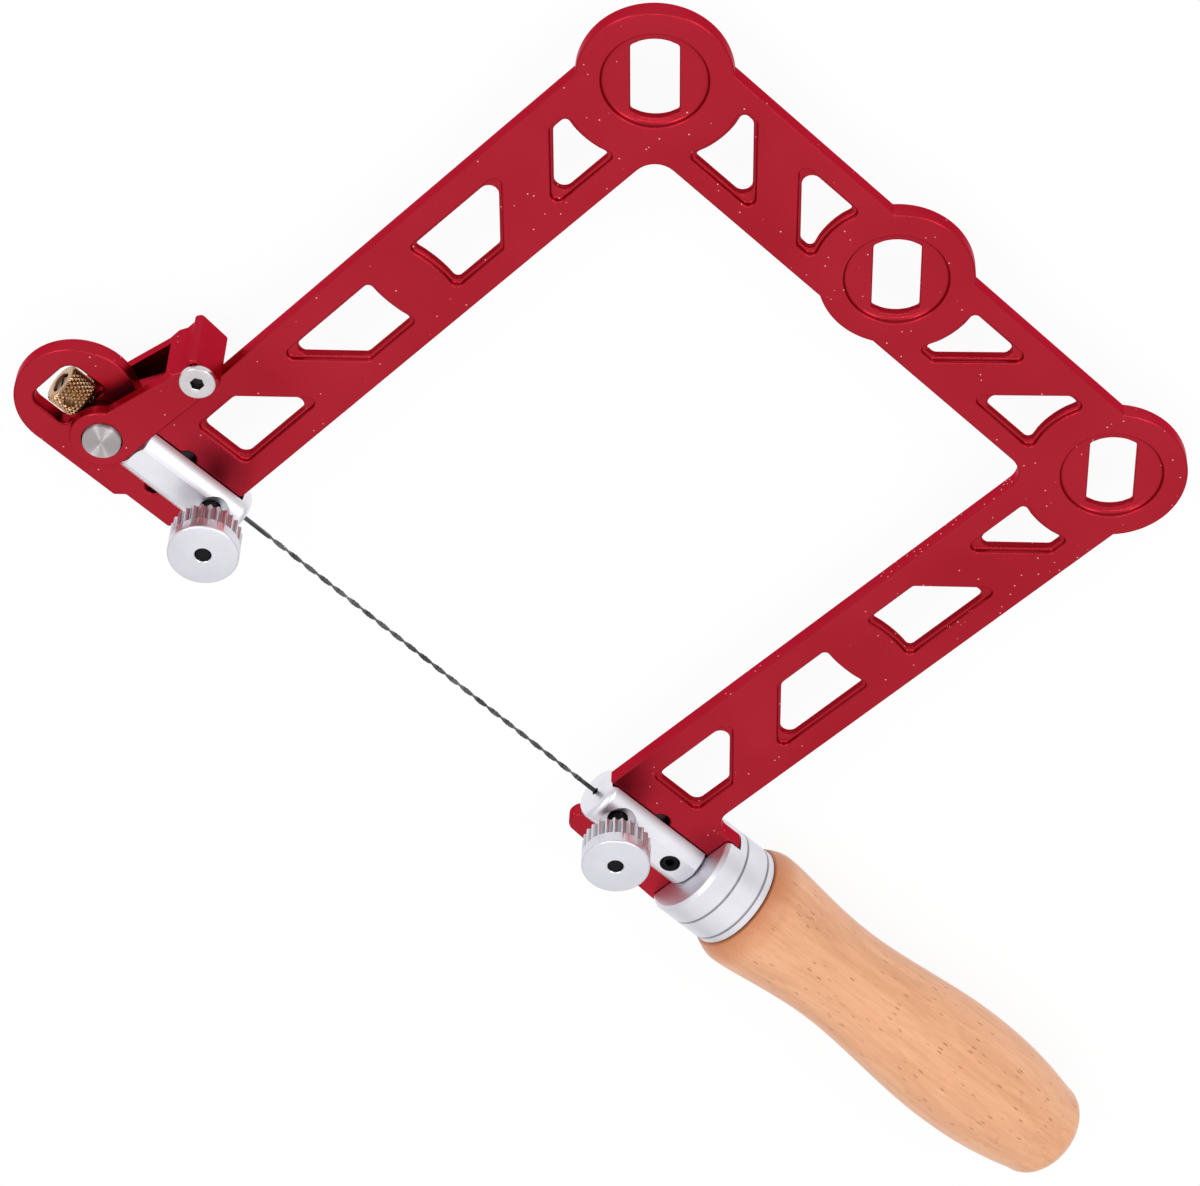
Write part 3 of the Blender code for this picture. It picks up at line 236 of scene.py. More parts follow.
# Its groove colour paints shade in the knob's flutes
FLUTED = metal_material("fluted_aluminium_painted_flute_shade", (0.74, 0.735, 0.80), (0.82, 0.815, 0.87), 0.38,
                        groove=(0.36, 0.33, 0.36))
STEEL = metal_material("turned_steel_dressed", (0.52, 0.475, 0.485), (0.64, 0.595, 0.605), 0.45, 3.0,
                       aniso=1.0)
SCREW_STEEL = metal_material("plated_steel_dressed", (0.66, 0.62, 0.64), (0.76, 0.72, 0.74), 0.3, 4.0)
# Dark steel, painted shade for the inside of the cross screw's hex socket
SOCKET_PAINTED_SHADE = metal_material("socket_painted_shade_dressed", (0.10, 0.09, 0.09), (0.20, 0.18, 0.18), 0.3, 4.0)
# Dark steel for the draw rod, and painted shade on the walls of the nut's cross hole
ROD_STEEL_AND_HOLE_SHADE = metal_material("rod_steel_and_painted_hole_shade_dressed", (0.16, 0.11, 0.085), (0.26, 0.19, 0.15), 0.35, 4.0)
# Its groove colour paints shade in the hollows of the nut's knurl
BRASS = metal_material("brass_and_painted_knurl_shade", (0.50, 0.30, 0.16), (0.68, 0.45, 0.26), 0.3, 5.0,
                       groove=(0.10, 0.045, 0.022))
# Black oxide for the screws, and painted shade on the side grooves of the clamps
BLACK = metal_material("black_oxide_and_painted_groove_shade_dressed", (0.010, 0.010, 0.012), (0.022, 0.022, 0.025), 0.42)
BLADE = metal_material("blade_steel_dressed", (0.03, 0.03, 0.033), (0.20, 0.20, 0.205), 0.22, 2.0,
                       brushed=(0.3, 1.5, 1.5))
WOOD = wood_material("beech_dressed")


# Shape helpers

def arc(cx, cy, r, a0, a1, steps):
    """Points on an arc, both ends included, angles in degrees."""
    turn = [math.radians(a0 + (a1 - a0) * i / steps) for i in range(steps + 1)]
    return [(cx + r * math.cos(a), cy + r * math.sin(a)) for a in turn]


def rounded(corners, steps=8):
    """An outline from (x, y, fillet radius) corners; the radius may be left out."""
    pts = []
    for i, corner in enumerate(corners):
        here = Vector(corner[:2])
        r = corner[2] if len(corner) > 2 else 0.0
        if r <= 0.0:
            pts.append((here.x, here.y))
            continue
        before = Vector(corners[i - 1][:2]) - here
        after = Vector(corners[(i + 1) % len(corners)][:2]) - here
        room = 0.49 * min(before.length, after.length)
        before.normalize()
        after.normalize()
        half = before.angle(after) / 2
        reach = min(r / math.tan(half), room)
        r = reach * math.tan(half)
        centre = here + (before + after).normalized() * (r / math.sin(half))
        start = here + before * reach - centre
        turn = start.angle_signed(here + after * reach - centre)
        for k in range(steps + 1):
            p = centre + Matrix.Rotation(-turn * k / steps, 2) @ start
            pts.append((p.x, p.y))
    return pts


def area_sign(loop):
    total = sum(p[0] * q[1] - q[0] * p[1] for p, q in zip(loop, loop[1:] + loop[:1]))
    return 1.0 if total > 0 else -1.0


def offset(loop, d):
    """A closed outline moved outwards by d, point by point."""
    sign = area_sign(loop)
    pts = []
    count = len(loop)
    for i, p in enumerate(loop):
        a = Vector(p) - Vector(loop[i - 1])
        b = Vector(loop[(i + 1) % count]) - Vector(p)
        na = Vector((a.y, -a.x)).normalized() * sign
        nb = Vector((b.y, -b.x)).normalized() * sign
        step = (na + nb) / max(0.35, 1.0 + na.dot(nb)) * d
        pts.append((p[0] + step.x, p[1] + step.y))
    return pts


def inside(point, loop):
    x, y = point
    hit = False
    for (x0, y0), (x1, y1) in zip(loop[-1:] + loop[:-1], loop):
        if (y0 > y) != (y1 > y) and x < x0 + (x1 - x0) * (y - y0) / (y1 - y0):
            hit = not hit
    return hit


def bridge(bm, rows):
    """Faces between neighbours in a list of closed rows of vertices."""
    for a, b in zip(rows, rows[1:]):
        for i in range(len(a)):
            j = (i + 1) % len(a)
            bm.faces.new((a[i], a[j], b[j], b[i]))


def second_material(bm, test):
    """Gives the piece's second material to the faces whose middle passes the test."""
    for face in bm.faces:
        if test(face.calc_center_median()):
            face.material_index = 1
    return bm


def moved(bm, x, y=0.0, z=0.0):
    bmesh.ops.translate(bm, verts=bm.verts, vec=(x, y, z))
    return bm


def piece(name, bm, node_name, body, mats, sharp=35.0):
    """Turns a working shape in millimetres into a piece that stands for a CAD node."""
    bmesh.ops.recalc_face_normals(bm, faces=bm.faces)
    bmesh.ops.transform(bm, matrix=TO_ROW, verts=bm.verts)
    mesh = bpy.data.meshes.new(name)
    bm.to_mesh(mesh)
    bm.free()
    mesh.shade_smooth()
    mesh.set_sharp_from_angle(angle=math.radians(sharp))
    for mat in mats if isinstance(mats, (list, tuple)) else [mats]:
        mesh.materials.append(mat)
    obj = bpy.data.objects.new(name, mesh)
    SCENE.collection.objects.link(obj)
    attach(obj, body)
    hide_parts(node_name)
    return obj


def lathe(profile, steps=96, place=(0.0, 0.0), along_x=False):
    """A turned shape from (height, radius) pairs; a closed ring where the first radius isn't zero."""
    bm = bmesh.new()
    rows = []
    for h, r in profile:
        if r < 1e-6:
            rows.append([bm.verts.new((0, 0, h))])
        else:
            rows.append([bm.verts.new((x, y, h)) for x, y in arc(0, 0, r, 0, 360, steps)[:-1]])
    pairs = list(zip(rows, rows[1:]))
    if len(rows[0]) > 1 and len(rows[-1]) > 1:
        pairs.append((rows[-1], rows[0]))
    for a, b in pairs:
        for i in range(steps):
            j = (i + 1) % steps
            ring = [a[i % len(a)], a[j % len(a)], b[j % len(b)], b[i % len(b)]]
            ring = list(dict.fromkeys(ring))
            if len(ring) > 2:
                bm.faces.new(ring)
    if along_x:
        bmesh.ops.rotate(bm, verts=bm.verts, matrix=Matrix.Rotation(math.pi / 2, 3, 'Y'))
    bmesh.ops.translate(bm, verts=bm.verts, vec=(*place, 0.0) if not along_x else (0.0, *place))
    bmesh.ops.recalc_face_normals(bm, faces=bm.faces)
    return bm


def soft(profile, r, steps=4):
    """A profile with its corners rounded by r; its end points stay."""
    last = len(profile) - 1
    pts = rounded([(h, q, r if 0 < i < last else 0.0) for i, (h, q) in enumerate(profile)], steps)
    return [(h, max(q, 0.0)) for h, q in pts]


def prism(outline, z0, z1):
    """An outline raised from z0 to z1, with one face at each end."""
    bm = bmesh.new()
    low = [bm.verts.new((x, y, z0)) for x, y in outline]
    high = [bm.verts.new((x, y, z1)) for x, y in outline]
    bm.faces.new(low)
    bm.faces.new(high)
    for i in range(len(low)):
        j = (i + 1) % len(low)
        bm.faces.new((low[i], low[j], high[j], high[i]))
    bmesh.ops.recalc_face_normals(bm, faces=bm.faces)
    return bm


def box(low, high):
    (x0, y0, z0), (x1, y1, z1) = low, high
    return prism([(x0, y0), (x1, y0), (x1, y1), (x0, y1)], z0, z1)


def hexagon(cx, cy, flats, turn=0.0):
    return arc(cx, cy, flats / math.sqrt(3), turn, turn + 300, 5)


CUT = 'DIFFERENCE'
JOIN = 'UNION'


def carve(bm, tools, bevel=0.0, segments=2, angle=30.0):
    """Cuts or joins tools, as (shape, operation) pairs, then rounds the edges that are left."""
    mesh = bpy.data.meshes.new("work")
    bm.to_mesh(mesh)
    bm.free()
    work = bpy.data.objects.new("work", mesh)
    SCENE.collection.objects.link(work)
    spare = [work]
    for shape, operation in tools:
        tool_mesh = bpy.data.meshes.new("tool")
        shape.to_mesh(tool_mesh)
        shape.free()
        tool = bpy.data.objects.new("tool", tool_mesh)
        SCENE.collection.objects.link(tool)
        spare.append(tool)
        mod = work.modifiers.new("carve", 'BOOLEAN')
        mod.operation = operation
        mod.object = tool
        mod.solver = 'EXACT'
    if bevel:
        mod = work.modifiers.new("edges", 'BEVEL')
        mod.width = bevel
        mod.segments = segments
        mod.limit_method = 'ANGLE'
        mod.angle_limit = math.radians(angle)
        mod.miter_outer = 'MITER_ARC'
        mod.use_clamp_overlap = True
    graph = bpy.context.evaluated_depsgraph_get()
    done = bpy.data.meshes.new_from_object(work.evaluated_get(graph))
    out = bmesh.new()
    out.from_mesh(done)
    for obj in spare:
        bpy.data.objects.remove(obj, do_unlink=True)
    bpy.data.meshes.remove(done)
    bmesh.ops.remove_doubles(out, verts=out.verts, dist=1e-5)
    return out


def flat_normals(obj):
    """Keeps large flats flat beside rounded edges."""
    mod = obj.modifiers.new("flats", 'WEIGHTED_NORMAL')
    mod.keep_sharp = True
    mod.weight = 80


# Frame plate

ARM_IN, ARM_OUT, BAR_IN, BAR_OUT = 54.4, 78.5, 127.5, 151.6
BOSS_R, MID_R, CORNER, MID = 15.6, 15.8, (66.6, 139.6), (0.0, 141.3)
HALF_T, LEDGE, STEP = 2.0, 0.75, 1.2
SLOT_HALF, RELIEF_R = 5.2, 1.8
PIN_X, PIN_BORE_R = -87.0, 4.3
LOOP_X, LOOP_R = -94.8, 13.0
WINDOW_FRONT, WINDOW_BACK, WINDOW_HALF = -92.3, -102.3, 6.5
UPPER_SLOT_END, LOWER_SLOT_END = -80.3, 84.9
BOSS_SLOT_R, BOSS_SLOT_HALF = 8.9, 4.8
BOSS_SLOT_CORNER, BOSS_SLOT_TURN = 1.0, 135
RECESS_R, OUTER_EDGE, RECESS_EDGE, HOLE_EDGE = 10.6, 0.5, 0.35, 0.2
HOLE_FOOT, BOSS_FOOT = 0.4, 0.8
UPPER_RELIEF_X, LOWER_RELIEF_X = -69.0, 70.0
CHANNEL_HALF, THROAT_FILLET, NECK_FILLET, PRONG_FILLET, EDGE_FILLET = 2.4, 5.0, 5.0, 2.6, 0.8
STRIP_TIP_X, STRIP_Y, STRIP_STEP_X, STRIP_STEP_RUN = -59.6, -11.2, -71.7, 1.8
SEAT_X, SEAT_Y, LOOP_END_ANGLE = -84.0, 19.6, 58
TAB_END_X, TAB_Y, PRONG_TIP_X, PRONG_TIP_Y, FERRULE_FRONT = 87.6, 12.6, 55.6, -10.6, 84.2
HOLE_FILLET, RECESS_FILLET, HOLE_BOW = 2.0, 1.5, 0.6
ARM_RIM, BAR_RIM, BAR_INNER_UP = 6.0, 5.1, 0.8
CORNER_RING, ARM_RING, MID_RING = 3.2, 3.9, 2.3
ARM_TOP_SIDE, ARM_LAND, ARM_MID_SHARE, ARM_MID_HALF = 3.7, 15.4, 0.555, 6.55
ARM_LOWER_FOOT, ARM_END_FOOT, BAR_OUTER_TIP, BAR_INNER_TIP = 39.0, 13.6, 2.9, 3.2


def plate_outline():
    """The plate's edge: from the lower slot round the throat to the tension end, and back outside."""
    pts = [(ARM_IN, SLOT_HALF)]
    inner = rounded([(ARM_IN, 0), (ARM_IN, BAR_IN, THROAT_FILLET), (0, BAR_IN)])[1:-1]
    pts += inner
    a = math.degrees(math.asin((MID[1] - BAR_IN) / MID_R))
    pts += arc(0, MID[1], MID_R, -a, -180 + a, 24)
    pts += [(-x, y) for x, y in reversed(inner)]
    pts.append((-ARM_IN, SLOT_HALF))
    pts += arc(UPPER_RELIEF_X, SLOT_HALF, RELIEF_R, 0, 180, 16)
    a = math.degrees(math.asin(CHANNEL_HALF / PIN_BORE_R))
    upper = [(UPPER_SLOT_END, SLOT_HALF), (UPPER_SLOT_END, CHANNEL_HALF)]
    upper += arc(PIN_X, 0, PIN_BORE_R, a, 180 - a, 24) + [(WINDOW_FRONT, CHANNEL_HALF)]
    window = rounded([(WINDOW_FRONT, 0), (WINDOW_FRONT, WINDOW_HALF, 1.5), (WINDOW_BACK, WINDOW_HALF, 3.0),
                      (WINDOW_BACK, 0)])[1:-1]
    pts += upper + window
    pts += [(x, -y) for x, y in reversed(upper + window)]
    pts += arc(UPPER_RELIEF_X, -SLOT_HALF, RELIEF_R, 180, 360, 16)
    pts += rounded([(STRIP_TIP_X - 8, -SLOT_HALF), (STRIP_TIP_X, -SLOT_HALF, EDGE_FILLET),
                    (STRIP_TIP_X, STRIP_Y, EDGE_FILLET), (STRIP_STEP_X, STRIP_Y, EDGE_FILLET),
                    (STRIP_STEP_X - STRIP_STEP_RUN, -LOOP_R, EDGE_FILLET), (LOOP_X + 5, -LOOP_R)])[1:]
    pts += arc(LOOP_X, 0, LOOP_R, 270, LOOP_END_ANGLE, 60)
    pts += rounded([pts[-1], (SEAT_X, SEAT_Y, EDGE_FILLET), (-ARM_OUT, SEAT_Y, EDGE_FILLET),
                    (-ARM_OUT, BAR_IN)])[1:-1]
    ax = math.degrees(math.acos((ARM_OUT - CORNER[0]) / BOSS_R))
    ay = math.degrees(math.asin((BAR_OUT - CORNER[1]) / BOSS_R))
    am = math.degrees(math.asin((BAR_OUT - MID[1]) / MID_R))
    pts += arc(-CORNER[0], CORNER[1], BOSS_R, 180 + ax, ay, 64)
    pts += arc(0, MID[1], MID_R, 180 - am, am, 36)
    pts += arc(CORNER[0], CORNER[1], BOSS_R, 180 - ay, -ax, 64)
    pts += rounded([(ARM_OUT, BAR_IN), (ARM_OUT, TAB_Y, NECK_FILLET), (TAB_END_X, TAB_Y, EDGE_FILLET),
                    (TAB_END_X, -TAB_Y, EDGE_FILLET), (FERRULE_FRONT, -TAB_Y),
                    (PRONG_TIP_X, PRONG_TIP_Y, PRONG_FILLET), (PRONG_TIP_X, -SLOT_HALF, PRONG_FILLET),
                    (LOWER_RELIEF_X - 2 * RELIEF_R, -SLOT_HALF)])[1:-1]
    pts += arc(LOWER_RELIEF_X, -SLOT_HALF, RELIEF_R, 180, 360, 16)
    pts += [(LOWER_SLOT_END, -SLOT_HALF), (LOWER_SLOT_END, SLOT_HALF)]
    pts += arc(LOWER_RELIEF_X, SLOT_HALF, RELIEF_R, 0, 180, 16)
    return pts


def bowed(start, end, r):
    """Corner, arc points and corner of an edge that bows to its left with radius r."""
    start, end = Vector(start), Vector(end)
    chord = (end - start).length
    side = Vector((start.y - end.y, end.x - start.x)) / chord
    pts = []
    for i in range(1, 10):
        share = 0.22 + 0.56 * (i - 1) / 8
        depth = math.sqrt(r * r - ((share - 0.5) * chord) ** 2) - math.sqrt(r * r - chord * chord / 4)
        pts.append(tuple(start.lerp(end, share) + side * depth))
    return [(*start, 1)] + pts + [(*end, 1)]


def hole_outlines():
    """Holes as corners (x, y, 1) and arc points (x, y)."""
    x0, x1 = ARM_IN + ARM_RIM, ARM_OUT - ARM_RIM
    y0, y1 = BAR_IN + BAR_RIM, BAR_OUT - BAR_RIM
    big, arm, mid = BOSS_R + CORNER_RING, BOSS_R + ARM_RING, MID_R + MID_RING
    run, rise, sill = x1 - x0, y1 - y0, y0 + BAR_INNER_UP
    land = run ** 2 / (8 * HOLE_BOW) + HOLE_BOW / 2
    under = [CORNER[1] - math.sqrt(arm ** 2 - (x - CORNER[0]) ** 2) for x in (x0, x1)]
    beside = [CORNER[0] - math.sqrt(big ** 2 - (y - CORNER[1]) ** 2) for y in (y0, y1)]
    past = [math.sqrt(mid ** 2 - (y - MID[1]) ** 2) for y in (sill, y1)]
    top, low = under[1] - ARM_TOP_SIDE, ARM_LOWER_FOOT
    above, below = (ARM_MID_SHARE * BAR_IN + side * ARM_MID_HALF for side in (1, -1))
    tip, toe = beside[1] - BAR_OUTER_TIP, past[0] + BAR_INNER_TIP
    half = [
        [(x0, top - run, 1), (x1, top, 1)] + bowed((x1, under[1]), (x0, under[0]), arm),
        bowed((x0, above), (x1, above), land) + [(x1, top - ARM_LAND, 1), (x0, top - run - ARM_LAND, 1)],
        [(x0, low + run, 1), (x1, low, 1)] + bowed((x1, below), (x0, below), land),
        [(x0, ARM_END_FOOT, 1), (x1, ARM_END_FOOT, 1), (x1, low - ARM_LAND, 1),
         (x0, low + run - ARM_LAND, 1)],
        [(tip - rise, y0, 1)] + bowed((beside[0], y0), (beside[1], y1), big) + [(tip, y1, 1)],
        [(toe, sill, 1), (toe + y1 - sill, y1, 1)] + bowed((past[1], y1), (past[0], sill), mid),
    ]
    return half + [[(-p[0], *p[1:]) for p in reversed(h)] for h in half]


def filleted(hole, r, out=0.0):
    """A hole's outline, made larger by out, with its corners rounded by r."""
    grown = offset([p[:2] for p in hole], out) if out else [p[:2] for p in hole]
    return rounded([(*q, r) if len(p) > 2 else q for p, q in zip(hole, grown)])


def boss_slot(cx, cy):
    """A round hole with two flats, its corners a little rounded, turned across the bar."""
    a = math.degrees(math.asin(BOSS_SLOT_HALF / BOSS_SLOT_R))
    ends = []
    for turn in (0, 180):
        pts = arc(0, 0, BOSS_SLOT_R, turn - a, turn + a, 24)
        ends += [(*pts[0], BOSS_SLOT_CORNER)] + pts[5:-5] + [(*pts[-1], BOSS_SLOT_CORNER)]
    spin = Matrix.Rotation(math.radians(BOSS_SLOT_TURN), 2)
    return [tuple(Vector((cx, cy)) + spin @ Vector(p)) for p in rounded(ends, 6)]


def rim(loop, side, z, r, steps=3):
    """Rows of (outline, z) that round an edge: from the face at z to the wall below it."""
    rows = []
    for k in range(steps + 1):
        a = math.pi / 2 * k / steps
        rows.append((offset(loop, side * r * (1 - math.sin(a))), z - r * (1 - math.cos(a))))
    return rows


def plate_shape():
    """The front half of the plate, mirrored to the back; a darker red paints shade on its hole and slot
    walls.
    """
    outer = plate_outline()
    holes = hole_outlines()
    through = [filleted(h, HOLE_FILLET) for h in holes]
    recess = [filleted(h, RECESS_FILLET, LEDGE) for h in holes]
    for cx, cy in ((-CORNER[0], CORNER[1]), MID, CORNER):
        through.append(boss_slot(cx, cy))
        recess.append(arc(cx, cy, RECESS_R, 0, 360, 96)[:-1])
    floor_z = HALF_T - STEP
    bm = bmesh.new()

    def row(loop, z):
        return [bm.verts.new((x, y, z)) for x, y in loop]

    def walls(rows, index):
        for a, b in zip(rows, rows[1:]):
            for i in range(len(a)):
                j = (i + 1) % len(a)
                face = bm.faces.new((a[i], a[j], b[j], b[i]))
                middle = face.calc_center_median()
                # Walls around the slots, the pin bore and the window get the second material: painted shade
                slot = abs(middle.y) < 7.2 and -102.6 < middle.x < 85 and abs(middle.x) > 60
                face.material_index = 1 if slot else index

    def fill(rows, keep):
        pts, edges = [], []
        verts = [v for r in rows for v in r]
        for r in rows:
            first = len(pts)
            pts += [v.co.xy for v in r]
            edges += [(first + i, first + (i + 1) % len(r)) for i in range(len(r))]
        done = geometry.delaunay_2d_cdt(pts, edges, [], 0, 1e-9)
        for f in done[2]:
            middle = sum((done[0][i] for i in f), Vector((0, 0))) / len(f)
            if keep(tuple(middle)):
                bm.faces.new([verts[done[3][i][0]] for i in f])

    side = [row(*r) for r in rim(outer, -1, HALF_T, OUTER_EDGE)]
    side.append(row(outer, 0.0))
    walls(side, 0)
    tops = [side[0]]
    for hole, pocket in zip(through, recess):
        down = [row(*r) for r in rim(pocket, 1, HALF_T, RECESS_EDGE)]
        foot = HOLE_FOOT if pocket in recess[:-3] else BOSS_FOOT
        for k in range(6):
            a = math.pi / 2 * k / 5
            down.append(row(offset(pocket, -foot * (1 - math.cos(a))), floor_z + foot * (1 - math.sin(a))))
        walls(down, 0)
        bore = [row(*r) for r in rim(hole, 1, floor_z, HOLE_EDGE)]
        bore.append(row(hole, 0.0))
        # The through holes' walls get the second material too: painted shade
        walls(bore, 1)
        tops.append(down[0])
        ledge_out = [tuple(v.co.xy) for v in down[-1]]
        ledge_in = [tuple(v.co.xy) for v in bore[0]]
        fill([down[-1], bore[0]], lambda p, o=ledge_out, n=ledge_in: inside(p, o) and not inside(p, n))
    outlines = [[tuple(v.co.xy) for v in r] for r in tops]
    fill(tops, lambda p: inside(p, outlines[0]) and not any(inside(p, o) for o in outlines[1:]))
    back = bmesh.ops.duplicate(bm, geom=bm.verts[:] + bm.edges[:] + bm.faces[:])["geom"]
    bmesh.ops.scale(bm, vec=(1, 1, -1), verts=[g for g in back if isinstance(g, bmesh.types.BMVert)])
    bmesh.ops.remove_doubles(bm, verts=bm.verts, dist=1e-4)
    return bm


plate = piece("dressed_frame_plate", plate_shape(), "frame_plate", "frame",
              [RED, RED_PAINTED_SHADE_WALL])
flat_normals(plate)


# Clamps, their knobs and screws

CLAMP_R, FLAT_Z, SCREW_BACK, NOSE_R, TAIL_EDGE = 6.0, 5.4, 6.8, 1.7, 0.5
CLEAR_R, SCOOP_R, SCOOP_Z, BLADE_HOLE_R = 2.3, 4.2, 3.6, 0.85
GROOVE_Y, GROOVE_HALF = 4.9, 2.3
KNOB_R, KNOB_BASE, KNOB_TOP, KNOB_BORE = 7.5, 11.5, 19.4, 1.75
FLUTES, FLUTE_R, FLUTE_SINK, FLUTE_LENGTH = 26, 0.68, 0.06, 4.7
SCREW_R, SET_SCREW_X = 2.0, 78.0
ROD_FRONT, ROD_END = -71.0, -98.9
UPPER_FRONT, LOWER_FRONT = -51.0, 54.9
UPPER_REAR, LOWER_REAR = -78.9, 83.9


def rod_x(r, x0, x1, steps=48):
    return lathe([(x0, 0), (x0, r), (x1, r), (x1, 0)], steps, along_x=True)


def rod_z(r, x, y, z0, z1, steps=48):
    return lathe([(z0, 0), (z0, r), (z1, r), (z1, 0)], steps, (x, y))


def clamp(front, rear, blade_y, ends, extra):
    """A bar along X from its rounded front to its rear: flat, scoop and hole for the screw, side grooves."""
    way = 1.0 if rear > front else -1.0
    screw = front + way * SCREW_BACK
    nose = [(front + way * NOSE_R * (1 - math.sin(a)), CLAMP_R - NOSE_R * (1 - math.cos(a)))
            for a in (math.pi / 2 * k / 8 for k in range(8, -1, -1))]
    tail = [(rear - way * TAIL_EDGE, CLAMP_R), (rear, CLAMP_R - TAIL_EDGE), (rear, 0)]
    body = lathe([(front, 0)] + nose + tail, 96, along_x=True)
    a, b = sorted((screw, rear + way * 2))
    c, d = sorted((front - way * 2, front + way * 15))
    tools = [(box((a, -8, FLAT_Z), (b, 8, 8)), CUT), (rod_z(SCOOP_R, screw, 0, SCOOP_Z, 8), CUT)]
    for y0, y1, reach in ((GROOVE_Y, 8, ends[0]), (-8, -GROOVE_Y, ends[1])):
        g0, g1 = sorted((rear + way * 2, reach))
        tools.append((box((g0, y0, -GROOVE_HALF), (g1, y1, GROOVE_HALF)), CUT))
    tools.append((rod_z(CLEAR_R, screw, 0, -8, 8), CUT))
    tools.append((moved(rod_x(BLADE_HOLE_R, c, d, 32), 0, blade_y), CUT))
    # Faces of the side grooves get the second material, black, as painted shade
    return second_material(carve(body, tools + extra, 0.18, 2), lambda p: (
        way * (p.x - front) > 2.0 and 4.7 < abs(p.y) < 5.2 and abs(p.z) < 2.25))


def knob():
    """A knob turned at the origin: flutes below, a plain band with softened edges above."""
    steps = FLUTES * 12
    end, floor = KNOB_BASE + FLUTE_LENGTH, 17.0
    low, high = 0.35, 0.45
    bm = bmesh.new()
    groove = bm.verts.layers.float.new("groove")
    rows = []

    def scallop(a):
        d = (a * FLUTES / (2 * math.pi) % 1.0 - 0.5) * 2 * math.pi / FLUTES * KNOB_R
        deep = math.sqrt(max(0.0, FLUTE_R ** 2 - d * d)) - FLUTE_SINK
        return max(0.02, deep) if abs(d) < FLUTE_R else 0.02

    def ring(radius, z, share):
        verts = []
        for i in range(steps):
            a = 2 * math.pi * i / steps
            q = radius - scallop(a) * share
            verts.append(bm.verts.new((q * math.cos(a), q * math.sin(a), z)))
            # The groove layer holds the flute depth, which the material turns into painted shade
            verts[-1][groove] = min(1.0, scallop(a) * share / 0.6)
        rows.append(verts)

    ring(CLEAR_R, KNOB_BASE, 0)
    ring(KNOB_R - 0.75, KNOB_BASE, 0)
    for k in range(4):
        a = math.pi / 2 * k / 3
        ring(KNOB_R - low * (1 - math.sin(a)), KNOB_BASE + low * (1 - math.cos(a)), 1)
    for z, share in ((end - 0.15, 1), (end, 0.8), (end + 0.25, 0.0)):
        ring(KNOB_R, z, share)
    for k in range(5):
        a = math.pi / 2 * k / 4
        ring(KNOB_R - high * (1 - math.cos(a)), KNOB_TOP - high * (1 - math.sin(a)), 0)
    ring(KNOB_BORE + 0.15, KNOB_TOP, 0)
    ring(KNOB_BORE, KNOB_TOP - 0.15, 0)
    ring(KNOB_BORE, floor, 0)
    ring(CLEAR_R, floor, 0)
    bridge(bm, rows + rows[:1])
    return bm


def threaded(r, z0, z1, x, socket=0.0, up=True, neck=()):
    """A screw along Z at x with thread ridges, from z0 to z1. Its head end, z1 or with up False z0, is
    chamfered and may have a hex socket, or a plain neck as (radius, z of its foot)."""
    pitch, depth = 0.7, 0.22
    profile = [(z1, 0), (z1, r - 0.3), (z1 - 0.3, r)]
    z = z1 - 0.5
    if neck:
        neck_r, foot = neck
        profile = [(z1, 0), (z1, neck_r - 0.2), (z1 - 0.2, neck_r), (foot, neck_r), (foot, r)]
        z = foot - 0.3
    ridges = int((z - z0 - 0.3) / pitch)
    for _ in range(ridges):
        profile += [(z, r), (z - pitch * 0.4, r - depth), (z - pitch * 0.55, r - depth),
                    (z - pitch * 0.95, r)]
        z -= pitch
    profile += [(z0 + 0.1, r), (z0, r - 0.1), (z0, 0)]
    if not up:
        profile = [(z0 + z1 - h, q) for h, q in profile]
    bm = lathe(profile, 40, (x, 0))
    if socket:
        a, b = (z1 - 1.5, z1 + 1) if up else (z0 - 1, z0 + 1.5)
        bm = carve(bm, [(prism(hexagon(x, 0, socket), a, b), CUT)])
    return bm


for tag, front, rear, blade_y, ends, body, screw_body in (
        ("upper", UPPER_FRONT, UPPER_REAR, 1.0, (-54.0, -59.2), "carriage", "upper_screw"),
        ("lower", LOWER_FRONT, LOWER_REAR, -0.3, (53.0, 55.2), "frame", "lower_screw")):
    way = 1.0 if rear > front else -1.0
    screw = front + way * SCREW_BACK
    if tag == "upper":
        extra = [(rod_x(CLEAR_R, UPPER_REAR - 1, ROD_FRONT + 0.3), CUT)]
    else:
        extra = [(rod_z(CLEAR_R, SET_SCREW_X, 0, 0.4, 8), CUT)]
    bar = piece(f"dressed_{tag}_clamp_body", clamp(front, rear, blade_y, ends, extra), f"{tag}_clamp_body",
                body, [SILVER, BLACK])
    flat_normals(bar)
    top = piece(f"dressed_{tag}_clamp_knob", moved(knob(), screw), f"{tag}_clamp_knob", screw_body,
                FLUTED, 40)
    flat_normals(top)
    piece(f"dressed_{tag}_clamp_stud", threaded(SCREW_R, 0.875, 19.1, screw, neck=(1.6, 16.7)),
          f"{tag}_clamp_stud", screw_body, BLACK)
    piece(f"dressed_{tag}_clamp_anvil", threaded(SCREW_R, -5.6, -0.875, screw, 2.0, False),
          f"{tag}_clamp_anvil", body, BLACK)
piece("dressed_lower_clamp_set_screw", threaded(SCREW_R, 0.7, 5.1, SET_SCREW_X, 2.0),
      "lower_clamp_set_screw", "frame", BLACK)


# Tension end: draw rod, knurled nut, lever, pivot pin and cross screw

